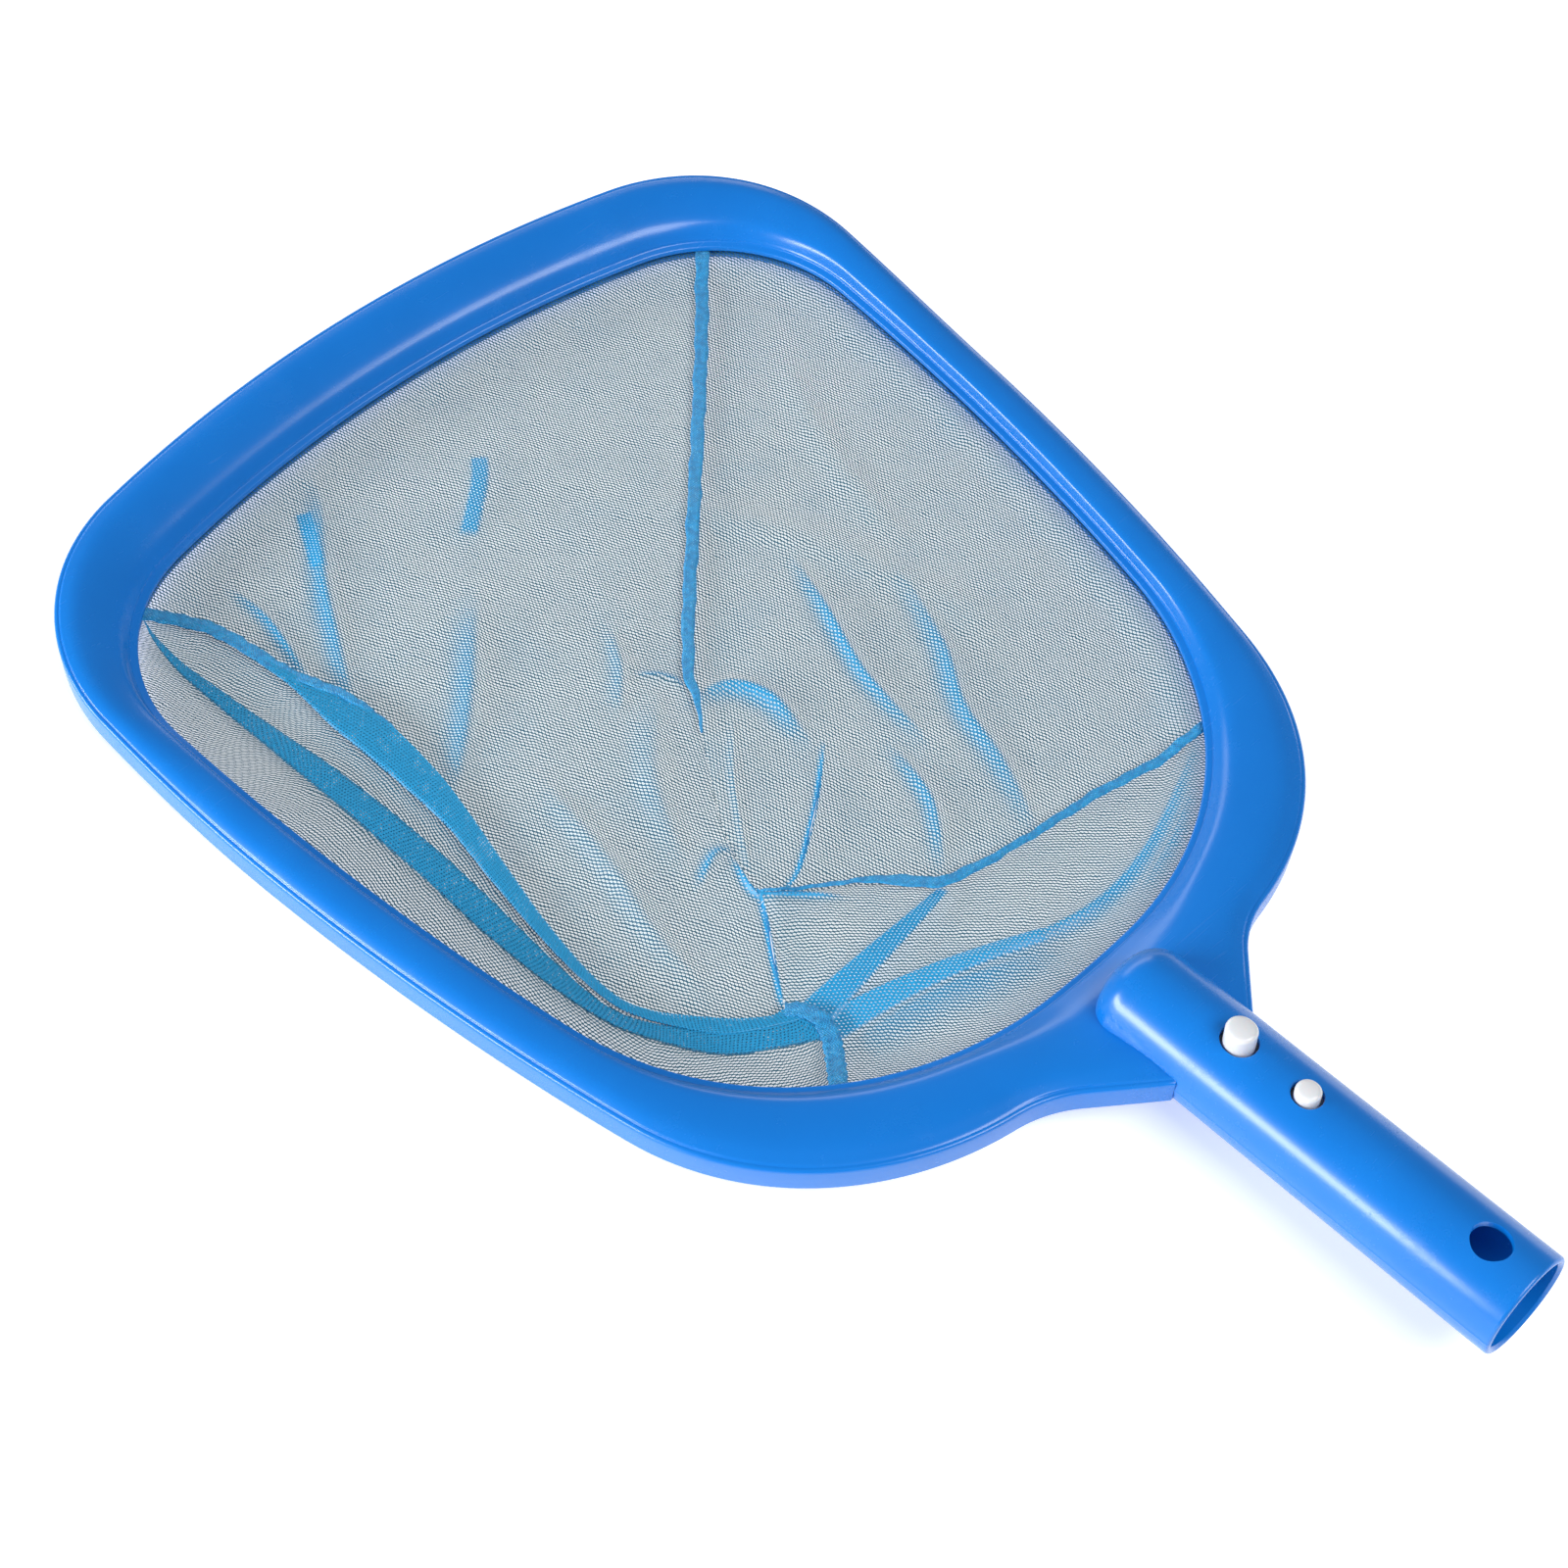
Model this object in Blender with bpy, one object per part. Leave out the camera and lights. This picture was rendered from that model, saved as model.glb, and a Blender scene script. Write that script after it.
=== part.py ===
"""Leaf skimmer net: a two-shell plastic rim with a shallow four-gore net bag and a clip handle socket.

Metres, +Z up.  The frame lies level on the ground plane, the wide front edge points to +Y and the
handle socket points to -Y and rises slightly.  The bag lies let down inside the opening.
"""
import math

import bmesh
import bpy
import numpy as np

MM = 0.001

# ---------------------------------------------------------------- driving sizes, mm
# overall size of the opening; both outlines are stretched to it
OPENING_WIDTH = 247.0207
OPENING_LENGTH = 273.8824

# opening of the frame: tangent arcs of the right half, front middle to rear middle
OPENING_FRONT_Y = 179.7
OPENING_FRONT_RADIUS = 367.5
OPENING_FRONT_SWEEP = 13.6
OPENING_CORNER_RADIUS = 48.5
OPENING_CORNER_SWEEP = 78.9
OPENING_SIDE_RADIUS = 832.0
OPENING_SIDE_SWEEP = 9.45
OPENING_SHOULDER_RADIUS = 98.5
OPENING_SHOULDER_SWEEP = 75.3

# outer edge of the frame, the same way round, then the neck
OUTER_FRONT_Y = 202.9
OUTER_FRONT_RADIUS = 390.6
OUTER_FRONT_SWEEP = 13.75
OUTER_CORNER_RADIUS = 59.8
OUTER_CORNER_SWEEP = 77.3
OUTER_SIDE_RADIUS = 802.7
OUTER_SIDE_SWEEP = 13.1
OUTER_SHOULDER_RADIUS = 86.7
OUTER_SHOULDER_SWEEP = 65.5
NECK_RADIUS = 32.4
NECK_SWEEP = 31.8
NECK_FLAT = 20.6

# cross-section of the rim, heights above the lip of the opening
SKIN = 2.0
CREST_HEIGHT = 4.5
EDGE_HEIGHT = 1.0
ARCH_POWER = 2.6
ARCH_SHARES = (0.22, 0.36, 0.5, 0.64, 0.78, 0.9)
LIP_WIDTH = 1.8
LIP_STEP = 0.9
LIP_CROWN = 0.15
LIP_SLOPE = 0.5
BRIM_SETBACK = 0.45
BRIM_CROWN = 0.75
BRIM_DROP = 0.35
SKIRT_SHOULDER = 0.6
FLANGE_WIDTH = 3.0
FLANGE_TOP = 0.4
FLANGE_DEPTH = 1.6
SKIRT_DEPTH = 7.0
REAR_LIFT_START_Y = -40.0
REAR_LIFT_RATE = 0.0016
FRONT_RAISE = 8.0
FRONT_RAISE_START_Y = 70.0
FRONT_RAISE_END_Y = 185.0

# fits
SHELL_GAP = 0.35
PIECE_GAP = 0.4

# lower shell
PLATE = 1.8
CLAMP_INSET = 0.8
CLAMP_MARGIN = 0.3
CLAMP_SLOPE = 0.5
CLAMP_HEIGHT = 1.5
UPSTAND = 2.4
UPSTAND_RISE = 0.6

# bag
HEM_INSET = 1.2
HEM_WIDTH = 3.8
HEM_THICKNESS = 1.2
GORE_THICKNESS = 1.0
TAPE_WIDTH = 4.0
TAPE_THICKNESS = 1.1
TAPE_GAP = 0.3
GORE_RIM_INSET = 0.8
GORE_ROWS = 12
GORE_COLUMNS = 16
GORE_REACH = 0.97
TAPE_ROWS = 26
TAPE_START = 0.4
TAPE_LONG_STOP = -2.0
TAPE_SHORT_STOP = 5.2
BAG_DROP_START = 1.0
BAG_DROP_LENGTH = 14.0
BAG_CLEARANCE = 0.05
SEAM_FRONT_HEADING = 53.0
SEAM_REAR_HEADING = 138.5
APEX_X = -41.0
APEX_Y = -20.0

# handle socket, s measured along its axis from the root towards the open end
SOCKET_DIAMETER = 28.5
SOCKET_WALL = 2.0
SOCKET_ROOT_Y = -100.0
SOCKET_ROOT_HEIGHT = 10.1
SOCKET_RISE = 4.0
SOCKET_START = 4.0
SOCKET_LENGTH = 129.2
SOCKET_NOSE_RADIUS = 9.0
SOCKET_END_RADIUS = 1.0
BORE_START = 8.0
BORE_NOSE_RADIUS = 6.0
PIN_HOLE_DIAMETER = 10.1
PIN_HOLE_S = 116.0

# spring clip
RELEASE_S = 41.1
RELEASE_WIDTH = 7.8
RELEASE_LENGTH = 8.2
RELEASE_PROUD = 5.3
LOCK_S = 62.1
LOCK_DIAMETER = 6.6
LOCK_PROUD = 2.2
BUTTON_SIDE_GAP = 0.55
BUTTON_END_GAP = 0.85
BUTTON_EDGE = 0.7
BUTTON_LEAF_GAP = 0.3
FLANGE_SPREAD = 1.1
FLANGE_DROP = 1.3
LEAF_WIDTH = 9.0
LEAF_THICKNESS = 1.2
LEAF_TOP_CLEARANCE = 3.15
LEAF_BOTTOM_CLEARANCE = 1.35
LEAF_HINGE_S = 21.0
LEAF_ARM_END_S = 69.0
LEAF_BASE_END_S = 78.0
ANCHOR_S = 54.0
ANCHOR_DIAMETER = 3.2
ANCHOR_HEAD_HEIGHT = 1.2

# world placing: ground under the skirt, box centred on the origin
GROUND = SKIRT_DEPTH
SOCKET_RADIUS = SOCKET_DIAMETER / 2
RISE = math.radians(SOCKET_RISE)
REAR_Y = (SOCKET_ROOT_Y - SOCKET_LENGTH * math.cos(RISE)
          - (SOCKET_RADIUS - SOCKET_END_RADIUS) * math.sin(RISE))
LEAF_TOP = SOCKET_RADIUS - SOCKET_WALL - LEAF_TOP_CLEARANCE
LEAF_BOTTOM = -(SOCKET_RADIUS - SOCKET_WALL - LEAF_BOTTOM_CLEARANCE)


# ---------------------------------------------------------------- scene set-up
def clear_scene():
    """Remove every object already there."""
    for obj in list(bpy.data.objects):
        bpy.data.objects.remove(obj, do_unlink=True)


def new_collection(name):
    """Make a collection under the scene."""
    col = bpy.data.collections.new(name)
    bpy.context.scene.collection.children.link(col)
    return col


def material(name, colour, roughness):
    """Plain Principled material."""
    mat = bpy.data.materials.new(name)
    mat.use_nodes = True
    bsdf = next(n for n in mat.node_tree.nodes if n.type == "BSDF_PRINCIPLED")
    bsdf.inputs["Base Color"].default_value = (*colour, 1.0)
    bsdf.inputs["Roughness"].default_value = roughness
    mat.diffuse_color = (*colour, 1.0)
    return mat


def add_object(name, verts, faces, col, mat=None, smooth=True):
    """Make a mesh object from points in mm, its faces turned outwards."""
    mesh = bpy.data.meshes.new(name)
    mesh.from_pydata([tuple(c * MM for c in v) for v in verts], [], faces)
    bm = bmesh.new()
    bm.from_mesh(mesh)
    bmesh.ops.remove_doubles(bm, verts=bm.verts, dist=1e-7)
    bmesh.ops.recalc_face_normals(bm, faces=bm.faces)
    bm.to_mesh(mesh)
    bm.free()
    mesh.validate()
    for poly in mesh.polygons:
        poly.use_smooth = smooth
    obj = bpy.data.objects.new(name, mesh)
    if mat is not None:
        mesh.materials.append(mat)
    col.objects.link(obj)
    return obj


def add_boolean(obj, cutter, operation):
    """Exact boolean with another object."""
    mod = obj.modifiers.new(operation.lower() + "_" + cutter.name, "BOOLEAN")
    mod.operation = operation
    mod.solver = "EXACT"
    mod.object = cutter


def as_cutter(obj):
    """Hide a tool body from the render and show it as wire."""
    obj.hide_render = True
    obj.display_type = "WIRE"
    return obj


# ---------------------------------------------------------------- outlines
def arc_run(x, y, heading, radius, sweep, count):
    """Points and headings along one arc; a negative sweep turns the other way."""
    side = 1.0 if sweep > 0 else -1.0
    cx = x - side * radius * math.sin(heading)
    cy = y - side * radius * math.cos(heading)
    run = []
    for k in range(1, count + 1):
        h = heading + sweep * k / count
        run.append((cx + side * radius * math.sin(h), cy + side * radius * math.cos(h), h))
    return run


def opening_arcs(counts):
    """Arcs of the opening's right half, front middle to rear middle, as (x, y, heading)."""
    run = [(0.0, OPENING_FRONT_Y, 0.0)]
    arcs = ((OPENING_FRONT_RADIUS, OPENING_FRONT_SWEEP), (OPENING_CORNER_RADIUS, OPENING_CORNER_SWEEP),
            (OPENING_SIDE_RADIUS, OPENING_SIDE_SWEEP), (OPENING_SHOULDER_RADIUS, OPENING_SHOULDER_SWEEP))
    for (radius, sweep), count in zip(arcs, counts):
        x, y, h = run[-1]
        run += arc_run(x, y, h, radius, math.radians(sweep), count)
    x, y, h = run[-1]
    last_sweep = math.pi - h
    run += arc_run(x, y, h, x / math.sin(h), last_sweep, counts[4])
    return run


def stretched(half):
    """Stretch a half outline of the opening to its overall width and length about its rear middle."""
    turn = math.radians(OPENING_FRONT_SWEEP)
    widest = OPENING_FRONT_RADIUS * math.sin(turn) + OPENING_CORNER_RADIUS * (1 - math.sin(turn))
    rear = half[-1][1]
    across = OPENING_WIDTH / (2 * widest)
    along = OPENING_LENGTH / (half[0][1] - rear)
    return [(x * across, rear + (y - rear) * along, math.atan2(along * math.sin(h), across * math.cos(h)))
            for x, y, h in half]


def opening_half(counts):
    """Right half of the opening at its overall size."""
    return stretched(opening_arcs(counts))


def outer_arcs(counts):
    """Arcs of the outer edge's right half with the neck, matched station by station to the opening."""
    run = [(0.0, OUTER_FRONT_Y, 0.0)]
    arcs = ((OUTER_FRONT_RADIUS, OUTER_FRONT_SWEEP), (OUTER_CORNER_RADIUS, OUTER_CORNER_SWEEP),
            (OUTER_SIDE_RADIUS, OUTER_SIDE_SWEEP))
    for (radius, sweep), count in zip(arcs, counts):
        x, y, h = run[-1]
        run += arc_run(x, y, h, radius, math.radians(sweep), count)
    x, y, h = run[-1]
    fine = [run[-1]] + arc_run(x, y, h, OUTER_SHOULDER_RADIUS, math.radians(OUTER_SHOULDER_SWEEP), 60)
    x, y, h = fine[-1]
    fine += arc_run(x, y, h, NECK_RADIUS, -math.radians(NECK_SWEEP), 30)
    x, y, h = fine[-1]
    for k in range(1, 13):
        step = NECK_FLAT * k / 12
        fine.append((x + step * math.cos(h), y - step * math.sin(h), h))
    pts = np.array(fine)
    length = np.concatenate([[0.0], np.cumsum(np.hypot(*np.diff(pts[:, :2], axis=0).T))])
    for k in range(1, counts[3] + 1):
        at = length[-1] * k / counts[3]
        run.append(tuple(float(np.interp(at, length, pts[:, c])) for c in range(3)))
    x, y, h = run[-1]
    for k in range(1, counts[4] + 1):
        t = k / counts[4]
        run.append((x * (1 - t), y, h + (math.pi - h) * t))
    return run


def outer_half(counts):
    """Right half of the outer edge, moved with the opening so that the rim keeps its width."""
    moved = zip(outer_arcs(counts), opening_arcs(counts), opening_half(counts))
    return [(ox + nx - ax, oy + ny - ay, oh + nh - ah) for (ox, oy, oh), (ax, ay, ah), (nx, ny, nh) in moved]


def mirrored(half):
    """Close a right half into the full loop."""
    loop = [(x, y, h) for x, y, h in half]
    for x, y, h in reversed(half[1:-1]):
        loop.append((-x, y, 2 * math.pi - h))
    return loop


# ---------------------------------------------------------------- heights
def smooth(t):
    """Smoothstep held to 0..1."""
    t = min(1.0, max(0.0, t))
    return t * t * (3 - 2 * t)


def rear_lift(y):
    """The frame sweeps up towards the handle."""
    reach = max(0.0, REAR_LIFT_START_Y - y)
    return REAR_LIFT_RATE * reach * reach


def front_raise(y_outer):
    """The broad front edge slopes up and outwards."""
    span = FRONT_RAISE_END_Y - FRONT_RAISE_START_Y
    return FRONT_RAISE * smooth((y_outer - FRONT_RAISE_START_Y) / span)


def arch(share):
    """Height of the rim's rounded top at a share of its width."""
    bow = 1 - abs(2 * share - 1) ** ARCH_POWER
    return EDGE_HEIGHT + (CREST_HEIGHT - EDGE_HEIGHT) * bow


# ---------------------------------------------------------------- rim rings
COUNTS = (5, 13, 14, 22, 3)
FINE_COUNTS = (12, 40, 24, 60, 6)
OPENING = mirrored(opening_half(COUNTS))
OUTER = mirrored(outer_half(COUNTS))
SHIFT_Y = -(OUTER[0][1] + REAR_Y) / 2


def ring_point(k, inset, outset, share, height):
    """A point of the rim: inset mm out from the opening, outset mm in from the outer edge, blended."""
    ix, iy, ih = OPENING[k]
    ox, oy, oh = OUTER[k]
    ax = ix + inset * math.sin(ih)
    ay = iy + inset * math.cos(ih)
    bx = ox - outset * math.sin(oh)
    by = oy - outset * math.cos(oh)
    x = ax + (bx - ax) * share
    y = ay + (by - ay) * share
    width = math.hypot(ox - ix, oy - iy)
    across = math.hypot(x - ix, y - iy) / width
    z = height + rear_lift(y) + front_raise(oy) * across
    return x, y + SHIFT_Y, z + GROUND


def ring(name, section, col, mat):
    """Loft a closed section round the frame."""
    verts = []
    faces = []
    count = len(OPENING)
    rows = [section(k) for k in range(count)]
    size = len(rows[0])
    for row in rows:
        verts += row
    for k in range(count):
        n = (k + 1) % count
        for m in range(size):
            q = (m + 1) % size
            faces.append((k * size + m, k * size + q, n * size + q, n * size + m))
    return add_object(name, verts, faces, col, mat)


def upper_section(k):
    """Skin with its lip, arched top, outer skirt and inner flange."""
    top = [ring_point(k, 0.0, 0.0, 0.0, 0.0),
           ring_point(k, LIP_WIDTH, 0.0, 0.0, LIP_CROWN),
           ring_point(k, LIP_WIDTH + LIP_SLOPE, 0.0, 0.0, LIP_STEP + LIP_CROWN)]
    for share in ARCH_SHARES:
        top.append(ring_point(k, 0.0, 0.0, share, arch(share)))
    top.append(ring_point(k, 0.0, BRIM_SETBACK, 1.0, EDGE_HEIGHT + BRIM_CROWN))
    top.append(ring_point(k, 0.0, 0.0, 1.0, EDGE_HEIGHT - BRIM_DROP))
    skirt = [ring_point(k, 0.0, 0.0, 1.0, -SKIRT_DEPTH),
             ring_point(k, 0.0, SKIN, 1.0, -SKIRT_DEPTH),
             ring_point(k, 0.0, SKIN, 1.0, EDGE_HEIGHT - SKIN + SKIRT_SHOULDER)]
    under = []
    for share in reversed(ARCH_SHARES[1:-1]):
        under.append(ring_point(k, 0.0, 0.0, share, arch(share) - SKIN))
    flange = [ring_point(k, FLANGE_WIDTH, 0.0, 0.0, -FLANGE_TOP),
              ring_point(k, FLANGE_WIDTH, 0.0, 0.0, -FLANGE_DEPTH),
              ring_point(k, 0.0, 0.0, 0.0, -FLANGE_DEPTH)]
    return top + skirt + under + flange


HEM_TOP = -FLANGE_DEPTH - PIECE_GAP
HEM_BOTTOM = HEM_TOP - HEM_THICKNESS
CLAMP_TOP = HEM_BOTTOM - PIECE_GAP


def lower_section(k):
    """Retaining ring: clamp face under the hem, plate, and an upstand beside the skirt."""
    outer = SKIN + SHELL_GAP
    upstand_in = outer + UPSTAND
    clamp_out = HEM_INSET + HEM_WIDTH + CLAMP_MARGIN
    plate_top = -SKIRT_DEPTH + PLATE
    return [ring_point(k, CLAMP_INSET, 0.0, 0.0, CLAMP_TOP),
            ring_point(k, clamp_out, 0.0, 0.0, CLAMP_TOP),
            ring_point(k, clamp_out + CLAMP_SLOPE, 0.0, 0.0, plate_top),
            ring_point(k, 0.0, upstand_in, 1.0, plate_top),
            ring_point(k, 0.0, upstand_in, 1.0, CLAMP_TOP + UPSTAND_RISE),
            ring_point(k, 0.0, outer, 1.0, CLAMP_TOP + UPSTAND_RISE),
            ring_point(k, 0.0, outer, 1.0, -SKIRT_DEPTH),
            ring_point(k, clamp_out, 0.0, 0.0, -SKIRT_DEPTH),
            ring_point(k, CLAMP_INSET, 0.0, 0.0, CLAMP_TOP - CLAMP_HEIGHT)]


def hem_section(k):
    """Folded edge of the bag, clamped between the shells."""
    far = HEM_INSET + HEM_WIDTH
    return [ring_point(k, HEM_INSET, 0.0, 0.0, HEM_TOP),
            ring_point(k, far, 0.0, 0.0, HEM_TOP),
            ring_point(k, far, 0.0, 0.0, HEM_BOTTOM),
            ring_point(k, HEM_INSET, 0.0, 0.0, HEM_BOTTOM)]


# ---------------------------------------------------------------- bag
def heading_point(heading, inset):
    """Point of the opening at a heading in degrees, moved out by inset; the left side uses 360 - heading."""
    flip = heading > 180.0
    want = math.radians(360.0 - heading if flip else heading)
    fine = np.array(opening_half(FINE_COUNTS))
    x = float(np.interp(want, fine[:, 2], fine[:, 0])) + inset * math.sin(want)
    y = float(np.interp(want, fine[:, 2], fine[:, 1])) + inset * math.cos(want)
    return np.array([-x if flip else x, y])


RIM_LINE = np.array([p[:2] for p in mirrored(opening_half(FINE_COUNTS))])


def bag_height(x, y):
    """Middle height of the let-down cloth: at the clamp by the rim, then down to the ground."""
    a = RIM_LINE
    b = np.roll(RIM_LINE, -1, axis=0)
    d = b - a
    w = np.array([x, y]) - a
    t = np.clip((w * d).sum(1) / (d * d).sum(1), 0.0, 1.0)
    gap = float(np.min(np.hypot(*(w - d * t[:, None]).T)))
    fall = smooth((gap - BAG_DROP_START) / BAG_DROP_LENGTH)
    high = (HEM_TOP + HEM_BOTTOM) / 2 + rear_lift(y)
    low = -SKIRT_DEPTH + TAPE_THICKNESS / 2 + BAG_CLEARANCE
    return high + (low - high) * fall


def sheet(name, grid, thickness, col, mat):
    """Closed thin solid over a grid of plan points."""
    rows = len(grid)
    cols = len(grid[0])
    verts = []
    for side in (0.5, -0.5):
        for row in grid:
            for x, y in row:
                verts.append((x, y + SHIFT_Y, bag_height(x, y) + side * thickness + GROUND))
    base = rows * cols
    faces = []
    for i in range(rows - 1):
        for j in range(cols - 1):
            a = i * cols + j
            faces.append((a, a + 1, a + cols + 1, a + cols))
            faces.append((base + a, base + a + cols, base + a + cols + 1, base + a + 1))
    edge = [j for j in range(cols)]
    edge += [i * cols + cols - 1 for i in range(1, rows)]
    edge += [(rows - 1) * cols + j for j in range(cols - 2, -1, -1)]
    edge += [i * cols for i in range(rows - 2, 0, -1)]
    for a, b in zip(edge, edge[1:] + edge[:1]):
        faces.append((a, b, base + b, base + a))
    return add_object(name, verts, faces, col, mat)


def gore(name, first, second, col, mat):
    """One cloth panel between the seams at two headings, running clockwise round the rim."""
    apex = np.array([APEX_X, APEX_Y])
    shift = TAPE_WIDTH / 2 + TAPE_GAP
    ends = []
    for heading, side in ((first, 1.0), (second, -1.0)):
        start = heading_point(heading, GORE_RIM_INSET)
        along = (apex - start) / np.hypot(*(apex - start))
        off = np.array([-along[1], along[0]]) * side * shift
        ends.append((start + off, along))
    (pa, da), (pb, db) = ends
    cross = da[0] * db[1] - da[1] * db[0]
    t = ((pb - pa)[0] * db[1] - (pb - pa)[1] * db[0]) / cross
    tip = pa + da * t
    span = (second - first) % 360.0
    fine = np.array([heading_point((first + span * j / 240) % 360.0, GORE_RIM_INSET) for j in range(241)])
    run = np.concatenate([[0.0], np.cumsum(np.hypot(*np.diff(fine, axis=0).T))])
    trim_a = shift / abs(math.sin(seam_rim_angle(first)))
    trim_b = shift / abs(math.sin(seam_rim_angle(second)))
    grid = []
    for i in range(GORE_ROWS + 1):
        f = GORE_REACH * (i / GORE_ROWS) ** 0.9
        row = []
        for j in range(GORE_COLUMNS + 1):
            at = trim_a + (run[-1] - trim_a - trim_b) * j / GORE_COLUMNS
            edge = np.array([np.interp(at, run, fine[:, 0]), np.interp(at, run, fine[:, 1])])
            row.append(tuple(edge + (tip - edge) * f))
        grid.append(row)
    return sheet(name, grid, GORE_THICKNESS, col, mat)


def seam_rim_angle(heading):
    """Angle between the rim and the seam that starts there."""
    apex = np.array([APEX_X, APEX_Y])
    start = heading_point(heading, GORE_RIM_INSET)
    ahead = heading_point((heading + 0.5) % 360.0, GORE_RIM_INSET) - start
    along = apex - start
    cross = ahead[0] * along[1] - ahead[1] * along[0]
    return math.asin(min(1.0, abs(cross) / (np.hypot(*ahead) * np.hypot(*along))))


def tape(name, heading, stop, col, mat):
    """Binding tape over a seam, from the rim to stop mm short of the apex."""
    apex = np.array([APEX_X, APEX_Y])
    start = heading_point(heading, GORE_RIM_INSET)
    along = apex - start
    reach = float(np.hypot(*along))
    along = along / reach
    side = np.array([-along[1], along[0]])
    first = TAPE_START + TAPE_WIDTH / 2 / math.tan(seam_rim_angle(heading))
    grid = []
    for i in range(TAPE_ROWS + 1):
        t = first + (reach - stop - first) * (i / TAPE_ROWS) ** 1.3
        p = start + along * t
        grid.append([tuple(p + side * w) for w in (-TAPE_WIDTH / 2, 0.0, TAPE_WIDTH / 2)])
    return sheet(name, grid, TAPE_THICKNESS, col, mat)


# ---------------------------------------------------------------- socket and clip
def empty(name, col):
    """Parent frame of the socket: local -Y runs along it towards the open end."""
    obj = bpy.data.objects.new(name, None)
    obj.location = (0.0, (SOCKET_ROOT_Y + SHIFT_Y) * MM, (SOCKET_ROOT_HEIGHT + GROUND) * MM)
    obj.rotation_euler = (-RISE, 0.0, 0.0)
    col.objects.link(obj)
    return obj


def place(obj, parent, s, height):
    """Put an object at s along the socket and a height above its axis."""
    obj.parent = parent
    obj.location = (0.0, -s * MM, height * MM)
    return obj


def corner(cx, cy, radius, start, end, count):
    """Quarter-round points of a profile, angles in degrees."""
    pts = []
    for k in range(count + 1):
        a = math.radians(start + (end - start) * k / count)
        pts.append((cx + radius * math.cos(a), cy + radius * math.sin(a)))
    return pts


def turned(name, profile, sides, col, mat=None, axis="Y"):
    """Solid of revolution; profile is (radius, distance) running along the axis."""
    verts = []
    faces = []
    rings = []
    for radius, dist in profile:
        if radius < 1e-6:
            rings.append([len(verts)])
            verts.append((0.0, -dist, 0.0) if axis == "Y" else (0.0, 0.0, dist))
            continue
        row = []
        for k in range(sides):
            a = 2 * math.pi * k / sides
            row.append(len(verts))
            if axis == "Y":
                verts.append((radius * math.cos(a), -dist, radius * math.sin(a)))
            else:
                verts.append((radius * math.cos(a), radius * math.sin(a), dist))
        rings.append(row)
    for low, high in zip(rings, rings[1:]):
        for k in range(sides):
            n = (k + 1) % sides
            if len(low) == 1:
                faces.append((low[0], high[k], high[n]))
            elif len(high) == 1:
                faces.append((low[k], low[n], high[0]))
            else:
                faces.append((low[k], low[n], high[n], high[k]))
    return add_object(name, verts, faces, col, mat)


def rounded_slot(width, length, count):
    """Plan outline of a slot with round ends, long along Y."""
    radius = width / 2
    straight = max(0.0, length / 2 - radius)
    pts = []
    for k in range(count + 1):
        a = math.pi * k / count
        pts.append((radius * math.cos(a), straight + radius * math.sin(a)))
    for k in range(count + 1):
        a = math.pi + math.pi * k / count
        pts.append((radius * math.cos(a), -straight + radius * math.sin(a)))
    clean = []
    for p in pts:
        if not clean or math.dist(p, clean[-1]) > 1e-4:
            clean.append(p)
    if math.dist(clean[0], clean[-1]) < 1e-4:
        clean.pop()
    return clean


def stacked(name, layers, col, mat=None, smooth_faces=True):
    """Solid through matching plan outlines, each a (points, height) layer."""
    size = len(layers[0][0])
    verts = []
    for pts, height in layers:
        verts += [(x, y, height) for x, y in pts]
    faces = []
    for n in range(len(layers) - 1):
        for k in range(size):
            q = (k + 1) % size
            faces.append((n * size + k, n * size + q, (n + 1) * size + q, (n + 1) * size + k))
    for n in (0, len(layers) - 1):
        mid = len(verts)
        pts, height = layers[n]
        verts.append((sum(p[0] for p in pts) / size, sum(p[1] for p in pts) / size, height))
        for k in range(size):
            q = (k + 1) % size
            faces.append((n * size + k, n * size + q, mid))
    return add_object(name, verts, faces, col, mat, smooth_faces)


def button(name, width, length, proud, s, parent, col, mat):
    """Button: flange under the socket wall, straight stem, softened top edge."""
    seat = SOCKET_RADIUS - SOCKET_WALL - FLANGE_DROP
    top = SOCKET_RADIUS + proud
    wide = FLANGE_SPREAD * 2
    layers = [(rounded_slot(width + wide, length + wide, 12), LEAF_TOP + BUTTON_LEAF_GAP),
              (rounded_slot(width + wide, length + wide, 12), seat),
              (rounded_slot(width, length, 12), seat),
              (rounded_slot(width, length, 12), top - BUTTON_EDGE)]
    for k in (1, 2, 3):
        a = math.radians(90 * k / 3)
        inset = BUTTON_EDGE * (1 - math.cos(a))
        rise = BUTTON_EDGE * math.sin(a)
        layers.append((rounded_slot(width - 2 * inset, length - 2 * inset, 12), top - BUTTON_EDGE + rise))
    hinge_height = LEAF_TOP - LEAF_THICKNESS / 2
    shifted = []
    for pts, height in layers:
        shifted.append(([(x, y - (s - LEAF_HINGE_S)) for x, y in pts], height - hinge_height))
    obj = stacked(name, shifted, col, mat)
    return place(obj, parent, LEAF_HINGE_S, hinge_height)


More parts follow.
